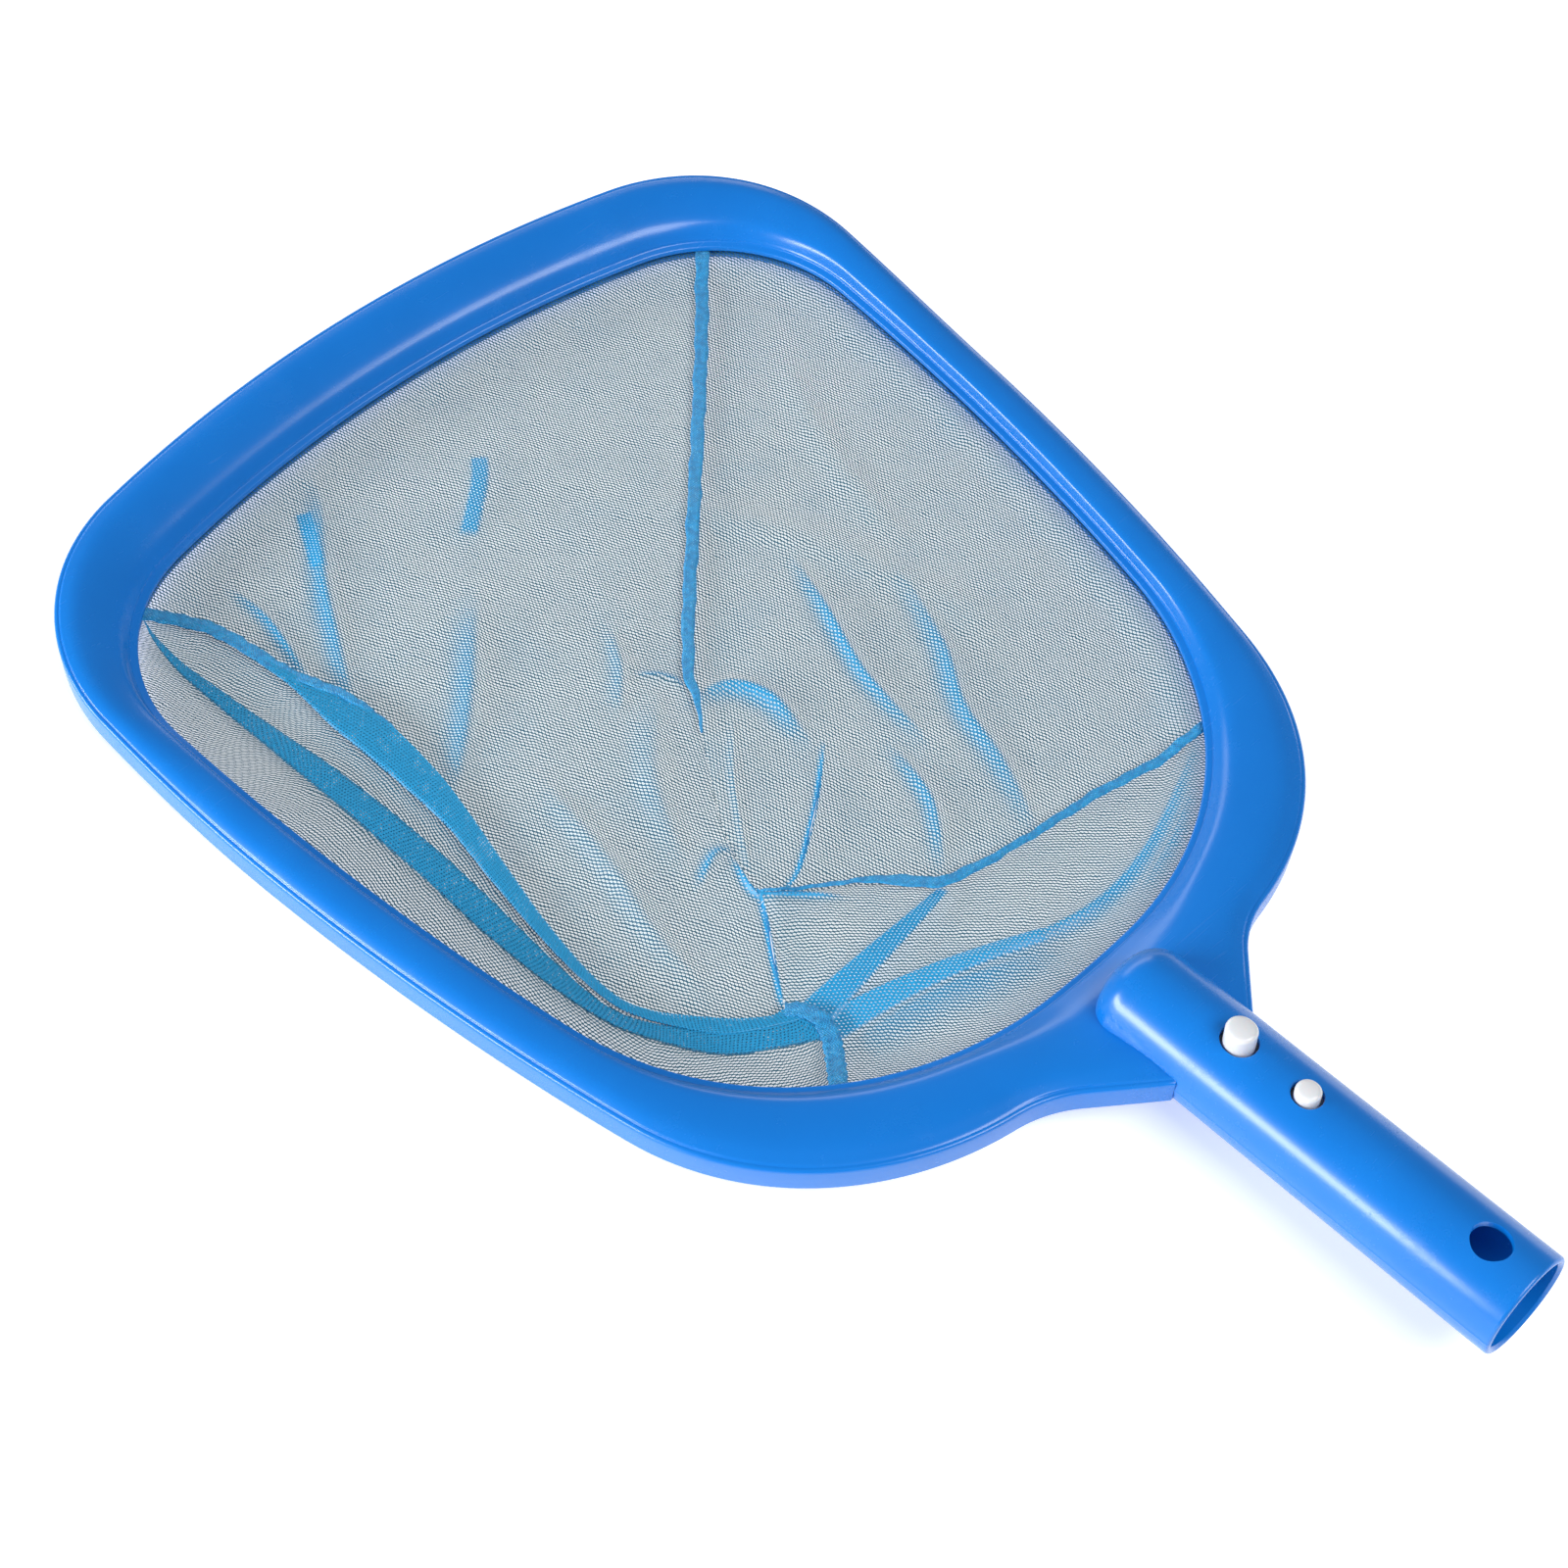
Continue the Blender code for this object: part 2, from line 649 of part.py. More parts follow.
def strip(name, path, width, thickness, col, mat):
    """Flat spring strip bent along a path of (s, height) points."""
    pts = np.array(path)
    verts = []
    for i, p in enumerate(pts):
        before = pts[max(0, i - 1)]
        after = pts[min(len(pts) - 1, i + 1)]
        t = (after - before) / np.hypot(*(after - before))
        n = np.array([-t[1], t[0]])
        for side, out in ((-1, -1), (1, -1), (1, 1), (-1, 1)):
            q = p + n * out * thickness / 2
            verts.append((side * width / 2, -q[0], q[1]))
    faces = []
    for i in range(len(pts) - 1):
        for m in range(4):
            q = (m + 1) % 4
            faces.append((i * 4 + m, i * 4 + q, i * 4 + 4 + q, i * 4 + 4 + m))
    faces.append((0, 1, 2, 3))
    last = (len(pts) - 1) * 4
    faces.append((last, last + 1, last + 2, last + 3))
    return add_object(name, verts, faces, col, mat, smooth=False)


def main():
    """Build every piece of the skimmer net."""
    clear_scene()
    body = new_collection("leaf_skimmer_net")
    tools = new_collection("cutters")
    shell_blue = material("shell_blue", (0.010, 0.175, 0.62), 0.35)
    shell_blue_low = material("shell_blue_low", (0.010, 0.160, 0.58), 0.4)
    net_blue = material("net_blue", (0.25, 0.55, 0.68), 0.8)
    tape_blue = material("tape_blue", (0.015, 0.25, 0.52), 0.8)
    hem_blue = material("hem_blue", (0.02, 0.28, 0.55), 0.8)
    clip_white = material("clip_white", (0.85, 0.85, 0.84), 0.3)

    axis = empty("socket_axis", body)

    upper = ring("frame_upper_shell", upper_section, body, shell_blue)
    inner = SOCKET_RADIUS - SOCKET_WALL
    nose = SOCKET_NOSE_RADIUS
    end = SOCKET_END_RADIUS
    outside = [(0.0, SOCKET_START)]
    outside += [(SOCKET_RADIUS + px, py) for px, py in
                corner(-nose, SOCKET_START + nose, nose, -90, 0, 6)]
    outside += [(SOCKET_RADIUS + px, py) for px, py in
                corner(-end, SOCKET_LENGTH - end, end, 0, 90, 3)]
    outside += [(0.0, SOCKET_LENGTH)]
    tube = place(as_cutter(turned("socket_outside", outside, 48, tools)), axis, 0.0, 0.0)
    hollow = [(0.0, BORE_START)]
    hollow += [(inner + px, py) for px, py in
               corner(-BORE_NOSE_RADIUS, BORE_START + BORE_NOSE_RADIUS, BORE_NOSE_RADIUS, -90, 0, 4)]
    hollow += [(inner, SOCKET_LENGTH + 3.0), (0.0, SOCKET_LENGTH + 3.0)]
    bore = place(as_cutter(turned("socket_bore", hollow, 48, tools)), axis, 0.0, 0.0)
    release_slot = rounded_slot(RELEASE_WIDTH + 2 * BUTTON_SIDE_GAP, RELEASE_LENGTH + 2 * BUTTON_END_GAP, 12)
    lock_slot = rounded_slot(LOCK_DIAMETER + 2 * BUTTON_SIDE_GAP, LOCK_DIAMETER + 2 * BUTTON_END_GAP, 12)
    pin_slot = rounded_slot(PIN_HOLE_DIAMETER, PIN_HOLE_DIAMETER, 16)
    for name, plan, s in (("release_hole", release_slot, RELEASE_S), ("lock_hole", lock_slot, LOCK_S),
                          ("pin_hole", pin_slot, PIN_HOLE_S)):
        tool = stacked(name, [(plan, 4.0), (plan, SOCKET_RADIUS + 6.0)], tools)
        place(as_cutter(tool), axis, s, 0.0)
        add_boolean(bore, tool, "UNION")
    anchor_profile = [(0.0, -inner - 0.8), (ANCHOR_DIAMETER / 2, -inner - 0.8),
                      (ANCHOR_DIAMETER / 2, LEAF_BOTTOM + LEAF_THICKNESS + ANCHOR_HEAD_HEIGHT - 0.4),
                      (ANCHOR_DIAMETER / 2 - 0.4, LEAF_BOTTOM + LEAF_THICKNESS + ANCHOR_HEAD_HEIGHT),
                      (0.0, LEAF_BOTTOM + LEAF_THICKNESS + ANCHOR_HEAD_HEIGHT)]
    anchor = turned("clip_anchor", anchor_profile, 16, tools, axis="Z")
    place(as_cutter(anchor), axis, ANCHOR_S, 0.0)
    add_boolean(bore, anchor, "DIFFERENCE")
    add_boolean(upper, tube, "UNION")
    add_boolean(upper, bore, "DIFFERENCE")

    lower = ring("frame_lower_shell", lower_section, body, shell_blue_low)
    clear = SOCKET_RADIUS + SHELL_GAP
    around = [(0.0, SOCKET_START - SHELL_GAP)]
    around += [(clear + px, py) for px, py in
               corner(-nose, SOCKET_START - SHELL_GAP + nose, nose, -90, 0, 6)]
    around += [(clear, SOCKET_LENGTH), (0.0, SOCKET_LENGTH)]
    relief = place(as_cutter(turned("socket_clearance", around, 48, tools)), axis, 0.0, 0.0)
    add_boolean(lower, relief, "DIFFERENCE")

    ring("net_hem", hem_section, body, hem_blue)

    front_right = SEAM_FRONT_HEADING
    rear_right = SEAM_REAR_HEADING
    rear_left = 360.0 - SEAM_REAR_HEADING
    front_left = 360.0 - SEAM_FRONT_HEADING
    gore("net_gore_front", front_left, front_right, body, net_blue)
    gore("net_gore_right", front_right, rear_right, body, net_blue)
    gore("net_gore_handle", rear_right, rear_left, body, net_blue)
    gore("net_gore_left", rear_left, front_left, body, net_blue)
    tape("seam_tape_front_right", front_right, TAPE_LONG_STOP, body, tape_blue)
    tape("seam_tape_handle_right", rear_right, TAPE_SHORT_STOP, body, tape_blue)
    tape("seam_tape_handle_left", rear_left, TAPE_SHORT_STOP, body, tape_blue)
    tape("seam_tape_front_left", front_left, TAPE_SHORT_STOP, body, tape_blue)

    mid_top = LEAF_TOP - LEAF_THICKNESS / 2
    mid_bottom = LEAF_BOTTOM + LEAF_THICKNESS / 2
    bend_radius = (mid_top - mid_bottom) / 2
    bend_middle = (mid_top + mid_bottom) / 2
    bend_s = LEAF_HINGE_S - PIECE_GAP
    path = []
    for k in range(13):
        a = math.radians(90 + 180 * k / 12)
        path.append((bend_s + bend_radius * math.cos(a), bend_middle + bend_radius * math.sin(a)))
    path.append((LEAF_BASE_END_S, mid_bottom))
    base = strip("clip_spring_base", path, LEAF_WIDTH, LEAF_THICKNESS, body, clip_white)
    place(base, axis, 0.0, 0.0)
    eye = rounded_slot(ANCHOR_DIAMETER + 2 * PIECE_GAP, ANCHOR_DIAMETER + 2 * PIECE_GAP, 8)
    eye_tool = stacked("anchor_eye", [(eye, LEAF_BOTTOM - 1.0), (eye, LEAF_BOTTOM + 3.0)], tools)
    place(as_cutter(eye_tool), axis, ANCHOR_S, 0.0)
    add_boolean(base, eye_tool, "DIFFERENCE")

    arm_path = [(0.0, 0.0), (LEAF_ARM_END_S - LEAF_HINGE_S, 0.0)]
    arm = strip("clip_spring_arm", arm_path, LEAF_WIDTH, LEAF_THICKNESS, body, clip_white)
    place(arm, axis, LEAF_HINGE_S, mid_top)
    button("release_button", RELEASE_WIDTH, RELEASE_LENGTH, RELEASE_PROUD, RELEASE_S, axis, body, clip_white)
    button("lock_button", LOCK_DIAMETER, LOCK_DIAMETER, LOCK_PROUD, LOCK_S, axis, body, clip_white)
    bpy.context.view_layer.update()


main()
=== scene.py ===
"""Looks of a leaf skimmer net: two-shell moulded rim, let-down net bag, seam tapes and a spring-clip socket.

Class sizes are millimetres in the frame's own axes; the meshes are written in metres.
"""

import logging
import math
from dataclasses import dataclass, field
from enum import Enum

import bmesh
import bpy
import numpy as np
from mathutils import Matrix, Vector, noise


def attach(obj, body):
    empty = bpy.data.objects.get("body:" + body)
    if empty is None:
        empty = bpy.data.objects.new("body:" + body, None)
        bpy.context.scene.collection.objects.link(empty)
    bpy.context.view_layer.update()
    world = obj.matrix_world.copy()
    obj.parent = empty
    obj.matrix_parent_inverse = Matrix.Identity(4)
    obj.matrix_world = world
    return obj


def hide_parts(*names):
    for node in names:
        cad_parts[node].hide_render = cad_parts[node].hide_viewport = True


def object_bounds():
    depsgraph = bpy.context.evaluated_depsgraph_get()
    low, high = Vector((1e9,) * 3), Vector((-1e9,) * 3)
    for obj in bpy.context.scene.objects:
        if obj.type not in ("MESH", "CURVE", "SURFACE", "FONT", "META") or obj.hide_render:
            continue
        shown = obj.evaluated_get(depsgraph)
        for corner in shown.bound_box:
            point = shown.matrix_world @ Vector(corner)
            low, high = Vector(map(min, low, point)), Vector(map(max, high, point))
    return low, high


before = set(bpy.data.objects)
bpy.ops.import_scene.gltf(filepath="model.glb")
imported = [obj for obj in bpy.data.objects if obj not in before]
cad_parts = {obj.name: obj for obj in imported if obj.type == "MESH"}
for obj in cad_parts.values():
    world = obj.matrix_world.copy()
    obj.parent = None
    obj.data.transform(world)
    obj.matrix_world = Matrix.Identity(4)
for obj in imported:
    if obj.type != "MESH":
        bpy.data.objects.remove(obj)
CAD_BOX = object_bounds()

MM = 0.001
TAU = 2.0 * math.pi
LOG = logging.getLogger("leaf_skimmer")


# ---------------------------------------------------------------- small maths
def ease(t: np.ndarray | float) -> np.ndarray | float:
    """Smoothstep held to 0..1."""
    t = np.clip(t, 0.0, 1.0)
    return t * t * (3.0 - 2.0 * t)


def spline(points: list | np.ndarray, count: int) -> np.ndarray:
    """Run a smooth curve through given points.

    Args:
        points: points of any dimension, in order.
        count: how many points to return.

    Returns:
        Array of count points, evenly spaced along the curve.
    """
    p = np.asarray(points, float)
    ext = np.vstack([2 * p[0] - p[1], p, 2 * p[-1] - p[-2]])
    fine = []
    for k in range(1, len(ext) - 2):
        a, b, c, d = ext[k - 1:k + 3]
        for t in np.linspace(0.0, 1.0, 24, endpoint=False):
            fine.append(0.5 * (2 * b + (c - a) * t + (2 * a - 5 * b + 4 * c - d) * t * t
                               + (3 * b - a - 3 * c + d) * t ** 3))
    fine.append(p[-1])
    return even(np.array(fine), count)


def even(line: np.ndarray, count: int) -> np.ndarray:
    """Resample a polyline to count points evenly along its length."""
    run = np.concatenate([[0.0], np.cumsum(np.linalg.norm(np.diff(line, axis=0), axis=1))])
    at = np.linspace(0.0, run[-1], count)
    return np.stack([np.interp(at, run, line[:, c]) for c in range(line.shape[1])], axis=1)


def distance_along(points: np.ndarray, line: np.ndarray) -> tuple[np.ndarray, np.ndarray]:
    """Distance from plan points to a polyline, and where along it the nearest place is.

    Args:
        points: N by 2 plan points.
        line: K by 2 polyline.

    Returns:
        Signed distance (positive on the left of the line) and the share of its length.
    """
    a, b = line[:-1], line[1:]
    d = b - a
    size = np.hypot(d[:, 0], d[:, 1])
    run = np.concatenate([[0.0], np.cumsum(size)])
    best = np.full(len(points), 1e9)
    share = np.zeros(len(points))
    sign = np.ones(len(points))
    for k in range(len(a)):
        w = points - a[k]
        t = np.clip((w @ d[k]) / (size[k] ** 2), 0.0, 1.0)
        off = w - t[:, None] * d[k]
        dist = np.hypot(off[:, 0], off[:, 1])
        near = dist < best
        best = np.where(near, dist, best)
        share = np.where(near, (run[k] + t * size[k]) / run[-1], share)
        sign = np.where(near, np.sign(d[k][0] * w[:, 1] - d[k][1] * w[:, 0]), sign)
    return best * sign, share


# ---------------------------------------------------------------- mesh helpers
def add_mesh(name: str, verts: np.ndarray, faces: list, mat: bpy.types.Material | None,
             outward: bool = True) -> bpy.types.Object:
    """Make a mesh object from points in millimetres.

    Args:
        name: object name.
        verts: N by 3 points, mm.
        faces: index tuples.
        mat: material, or None for a tool body.
        outward: recalculate the normals of a closed body.

    Returns:
        The new object, smooth shaded.
    """
    mesh = bpy.data.meshes.new(name)
    mesh.from_pydata([tuple(float(c) * MM for c in v) for v in verts], [], faces)
    if outward:
        bm = bmesh.new()
        bm.from_mesh(mesh)
        bmesh.ops.remove_doubles(bm, verts=bm.verts, dist=1e-7)
        bmesh.ops.recalc_face_normals(bm, faces=bm.faces)
        bm.to_mesh(mesh)
        bm.free()
    mesh.shade_smooth()
    if mat is not None:
        mesh.materials.append(mat)
    obj = bpy.data.objects.new(name, mesh)
    bpy.context.scene.collection.objects.link(obj)
    return obj


def grid_faces(rows: int, cols: int, loop_rows: bool = False, loop_cols: bool = False) -> list:
    """Quads of a rows by cols grid, closed in either direction on request."""
    faces = []
    for i in range(rows if loop_rows else rows - 1):
        n = (i + 1) % rows
        for j in range(cols if loop_cols else cols - 1):
            q = (j + 1) % cols
            faces.append((i * cols + j, i * cols + q, n * cols + q, n * cols + j))
    return faces


def bake_modifiers(obj: bpy.types.Object) -> None:
    """Replace an object's mesh with its evaluated result and drop the modifiers."""
    graph = bpy.context.evaluated_depsgraph_get()
    mesh = bpy.data.meshes.new_from_object(obj.evaluated_get(graph))
    obj.modifiers.clear()
    obj.data = mesh


def combine(obj: bpy.types.Object, tool: bpy.types.Object, operation: str) -> None:
    """Boolean another closed body into obj, apply it and remove the tool."""
    mod = obj.modifiers.new(operation.lower(), "BOOLEAN")
    mod.operation = operation
    mod.solver = "MANIFOLD"
    mod.object = tool
    bake_modifiers(obj)
    bpy.data.objects.remove(tool, do_unlink=True)


def seat(obj: bpy.types.Object, body: str, slot: str, *nodes: str) -> bpy.types.Object:
    """Ride on a body and stand for CAD nodes, which it hides."""
    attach(obj, body)
    if nodes:
        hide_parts(*nodes)
    return obj


# ---------------------------------------------------------------- node helpers
class Graph:
    """Short way to add and link nodes in one tree."""

    def __init__(self, tree: bpy.types.NodeTree) -> None:
        """Keep the tree."""
        self.tree = tree

    def add(self, kind: str, sockets: dict | None = None, **settings) -> bpy.types.Node:
        """Add a node.

        Args:
            kind: node type name.
            sockets: input name or index to a value or to another node's output.
            **settings: properties of the node.

        Returns:
            The node.
        """
        node = self.tree.nodes.new(kind)
        for key, value in settings.items():
            setattr(node, key, value)
        for key, value in (sockets or {}).items():
            if isinstance(value, bpy.types.NodeSocket):
                self.tree.links.new(value, node.inputs[key])
            else:
                node.inputs[key].default_value = value
        return node

    def math(self, operation: str, a, b=0.0, clamp: bool = False) -> bpy.types.NodeSocket:
        """One math node's output."""
        return self.add("ShaderNodeMath", {0: a, 1: b}, operation=operation, use_clamp=clamp).outputs[0]

    def mix(self, share, first, second) -> bpy.types.NodeSocket:
        """Colour mix output."""
        node = self.add("ShaderNodeMix", {0: share, 6: first, 7: second}, data_type="RGBA")
        return node.outputs[2]

    def ramp(self, value, low: float, high: float, out_low: float = 0.0,
             out_high: float = 1.0) -> bpy.types.NodeSocket:
        """Smooth remap of a value."""
        node = self.add("ShaderNodeMapRange", {0: value, 1: low, 2: high, 3: out_low, 4: out_high},
                        interpolation_type="SMOOTHSTEP")
        return node.outputs[0]


def shader_group(name: str, inputs: list, outputs: list) -> tuple[bpy.types.NodeTree, Graph]:
    """Start a shader node group.

    Args:
        name: group name.
        inputs: (name, socket type, default) rows.
        outputs: (name, socket type) rows.

    Returns:
        The tree and its graph helper.
    """
    tree = bpy.data.node_groups.new(name, "ShaderNodeTree")
    for label, kind, default in inputs:
        sock = tree.interface.new_socket(label, in_out="INPUT", socket_type=kind)
        if default is not None:
            sock.default_value = default
    for label, kind in outputs:
        tree.interface.new_socket(label, in_out="OUTPUT", socket_type=kind)
    return tree, Graph(tree)


HOLE_ACROSS = 0.40
HOLE_ALONG = 0.52
FLOAT = "NodeSocketFloat"
VECTOR = "NodeSocketVector"


def build_wear_group() -> bpy.types.NodeTree:
    """Handling wear of moulded plastic: fine scratches, dull scuffs and soft moulding waviness."""
    tree, g = shader_group(
        "handling_wear",
        [("Vector", VECTOR, None), ("Scratch Amount", FLOAT, 0.5), ("Scuff Amount", FLOAT, 0.5)],
        [("Roughness Add", FLOAT), ("Height", FLOAT), ("Mottle", FLOAT), ("Speck", FLOAT)])
    src = g.add("NodeGroupInput")
    here = src.outputs["Vector"]
    scratches = None
    for turn, seed in ((0.35, 0.0), (1.4, 3.1), (2.4, 7.7)):
        turned = g.add("ShaderNodeMapping", {0: here, 1: (seed, seed * 0.5, 0.0), 2: (0.15, 0.1, turn),
                                             3: (22.0, 900.0, 900.0)})
        streak = g.add("ShaderNodeTexNoise", {0: turned.outputs[0], "Scale": 1.0, "Detail": 1.0})
        line = g.ramp(streak.outputs[0], 0.70, 0.76)
        scratches = line if scratches is None else g.math("MAXIMUM", scratches, line)
    patch = g.add("ShaderNodeTexNoise", {0: here, "Scale": 28.0, "Detail": 3.0})
    where = g.ramp(patch.outputs[0], 0.48, 0.66)
    scratches = g.math("MULTIPLY", g.math("MULTIPLY", scratches, where), src.outputs["Scratch Amount"])
    scuff = g.add("ShaderNodeTexNoise", {0: here, "Scale": 70.0, "Detail": 5.0, "Roughness": 0.7})
    dull = g.math("MULTIPLY", g.ramp(scuff.outputs[0], 0.52, 0.78), src.outputs["Scuff Amount"])
    wave = g.add("ShaderNodeTexNoise", {0: here, "Scale": 60.0, "Detail": 1.0})
    grain = g.add("ShaderNodeTexNoise", {0: here, "Scale": 2600.0, "Detail": 1.0})
    specks = g.add("ShaderNodeTexVoronoi", {0: here, "Scale": 120.0})
    rare = g.add("ShaderNodeTexWhiteNoise", {0: specks.outputs["Position"]}, noise_dimensions="3D")
    dot = g.math("MULTIPLY", g.ramp(specks.outputs["Distance"], 0.045, 0.02),
                 g.math("GREATER_THAN", rare.outputs["Value"], 0.965))
    height = g.math("ADD", g.math("MULTIPLY", wave.outputs[0], 0.9),
                    g.math("MULTIPLY", grain.outputs[0], 0.035))
    height = g.math("SUBTRACT", height, g.math("MULTIPLY", scratches, 0.10))
    height = g.math("ADD", height, g.math("MULTIPLY", dot, 0.25))
    out = g.add("NodeGroupOutput")
    links = tree.links
    rougher = g.math("ADD", g.math("MULTIPLY", scratches, 0.30), g.math("MULTIPLY", dull, 0.16))
    links.new(rougher, out.inputs[0])
    links.new(height, out.inputs[1])
    links.new(patch.outputs[0], out.inputs[2])
    links.new(dot, out.inputs[3])
    return tree


def build_knit_group() -> bpy.types.NodeTree:
    """Fine knitted net: a staggered lattice of holes with uneven yarns."""
    tree, g = shader_group(
        "net_knit",
        [("Vector", VECTOR, None), ("Cell Width", FLOAT, 0.8), ("Row Step", FLOAT, 1.55),
         ("Yarn", FLOAT, 0.2)],
        [("Cover", FLOAT), ("Height", FLOAT), ("Uneven", FLOAT)])
    src = g.add("NodeGroupInput")
    sway = g.add("ShaderNodeTexNoise", {0: src.outputs["Vector"], "Scale": 0.22, "Detail": 2.0})
    part = g.add("ShaderNodeSeparateXYZ", {0: src.outputs["Vector"]})
    drift = g.math("MULTIPLY", g.math("SUBTRACT", sway.outputs[0], 0.5), 1.0)
    x = g.math("DIVIDE", g.math("ADD", part.outputs[0], drift), src.outputs["Cell Width"])
    y = g.math("DIVIDE", g.math("ADD", part.outputs[1], drift), src.outputs["Row Step"])
    across = g.math("DIVIDE", g.math("PINGPONG", g.math("ADD", x, y), 0.5), HOLE_ACROSS)
    along = g.math("DIVIDE", g.math("PINGPONG", g.math("SUBTRACT", x, y), 0.5), HOLE_ALONG)
    span = g.math("SQRT", g.math("ADD", g.math("POWER", across, 2.0), g.math("POWER", along, 2.0)))
    fuzz = g.add("ShaderNodeTexNoise", {0: src.outputs["Vector"], "Scale": 1.4, "Detail": 1.0})
    reach = g.math("MULTIPLY", g.math("SUBTRACT", 1.0, src.outputs["Yarn"]),
                   g.math("ADD", 0.92, g.math("MULTIPLY", fuzz.outputs[0], 0.16)))
    from_hole = g.math("DIVIDE", span, reach)
    cover = g.math("GREATER_THAN", from_hole, 1.0)
    round_yarn = g.math("MULTIPLY", g.math("SUBTRACT", from_hole, 1.0), 2.0, clamp=True)
    out = g.add("NodeGroupOutput")
    tree.links.new(cover, out.inputs[0])
    tree.links.new(round_yarn, out.inputs[1])
    tree.links.new(fuzz.outputs[0], out.inputs[2])
    return tree


def build_binding_group() -> bpy.types.NodeTree:
    """Narrow woven binding: diagonal ribs, with painted glints (painted highlights) where filaments cross."""
    tree, g = shader_group(
        "binding_weave",
        [("Vector", VECTOR, None), ("Pitch", FLOAT, 0.7)],
        [("Height", FLOAT), ("Painted Glint", FLOAT), ("Uneven", FLOAT)])
    src = g.add("NodeGroupInput")
    part = g.add("ShaderNodeSeparateXYZ", {0: src.outputs["Vector"]})
    x = g.math("DIVIDE", part.outputs[0], src.outputs["Pitch"])
    y = g.math("DIVIDE", part.outputs[1], src.outputs["Pitch"])
    rib_a = g.math("SINE", g.math("MULTIPLY", g.math("ADD", x, y), TAU))
    rib_b = g.math("SINE", g.math("MULTIPLY", g.math("SUBTRACT", x, g.math("MULTIPLY", y, 1.3)), TAU))
    height = g.math("MAXIMUM", rib_a, rib_b)
    # Painted highlight: scattered bright spots that the tape colour is mixed towards, for glints on crossing
    # filaments.
    spots = g.add("ShaderNodeTexVoronoi", {0: src.outputs["Vector"], "Scale": 2.0})
    chance = g.add("ShaderNodeTexWhiteNoise", {0: spots.outputs["Position"]}, noise_dimensions="3D")
    painted_glint = g.math("MULTIPLY", g.ramp(spots.outputs["Distance"], 0.42, 0.20),
                   g.math("GREATER_THAN", chance.outputs["Value"], 0.66))
    uneven = g.add("ShaderNodeTexNoise", {0: src.outputs["Vector"], "Scale": 0.5, "Detail": 3.0})
    out = g.add("NodeGroupOutput")
    tree.links.new(height, out.inputs[0])
    tree.links.new(painted_glint, out.inputs[1])
    tree.links.new(uneven.outputs[0], out.inputs[2])
    return tree


class Effects:
    """Shader groups that the finishes share, each built once."""

    wear: bpy.types.NodeTree
    knit: bpy.types.NodeTree
    binding: bpy.types.NodeTree

    @classmethod
    def build(cls) -> None:
        """Build the groups."""
        cls.wear = build_wear_group()
        cls.knit = build_knit_group()
        cls.binding = build_binding_group()


def start_material(name: str) -> tuple[bpy.types.Material, Graph, bpy.types.Node, bpy.types.Node]:
    """New node material.

    Args:
        name: material name.

    Returns:
        The material, its graph, its Principled shader and its Texture Coordinate node.
    """
    mat = bpy.data.materials.new(name)
    mat.use_nodes = True
    tree = mat.node_tree
    shader = next(n for n in tree.nodes if n.type == "BSDF_PRINCIPLED")
    g = Graph(tree)
    return mat, g, shader, g.add("ShaderNodeTexCoord")


@dataclass(frozen=True)
class MouldedPlastic:
    """Injection-moulded plastic with a little handling wear."""

    name: str
    colour: tuple[float, float, float]
    shade: tuple[float, float, float]
    roughness: float
    scratch: float
    scuff: float
    specular: float = 0.5
    coat: float = 0.0
    scatter: float = 0.0

    def build(self) -> bpy.types.Material:
        """Make the material."""
        mat, g, shader, where = start_material(self.name)
        wear = g.add("ShaderNodeGroup", node_tree=Effects.wear)
        g.tree.links.new(where.outputs["Object"], wear.inputs["Vector"])
        wear.inputs["Scratch Amount"].default_value = self.scratch
        wear.inputs["Scuff Amount"].default_value = self.scuff
        tone = g.mix(g.ramp(wear.outputs["Mottle"], 0.3, 0.75), (*self.colour, 1.0), (*self.shade, 1.0))
        pale = tuple(min(1.0, c * 1.6 + 0.05) for c in self.colour)
        tone = g.mix(g.math("MULTIPLY", wear.outputs["Speck"], 0.5), tone, (*pale, 1.0))
        g.tree.links.new(tone, shader.inputs["Base Color"])
        g.tree.links.new(g.math("ADD", wear.outputs["Roughness Add"], self.roughness),
                         shader.inputs["Roughness"])
        bump = g.add("ShaderNodeBump", {"Height": wear.outputs["Height"], "Strength": 0.35,
                                        "Distance": 0.0002})
        g.tree.links.new(bump.outputs[0], shader.inputs["Normal"])
        shader.inputs["Specular IOR Level"].default_value = self.specular
        shader.inputs["Coat Weight"].default_value = self.coat
        shader.inputs["Coat Roughness"].default_value = 0.12
        shader.inputs["Subsurface Weight"].default_value = self.scatter
        shader.inputs["Subsurface Radius"].default_value = (0.4, 0.8, 1.0)
        shader.inputs["Subsurface Scale"].default_value = 0.002
        return mat


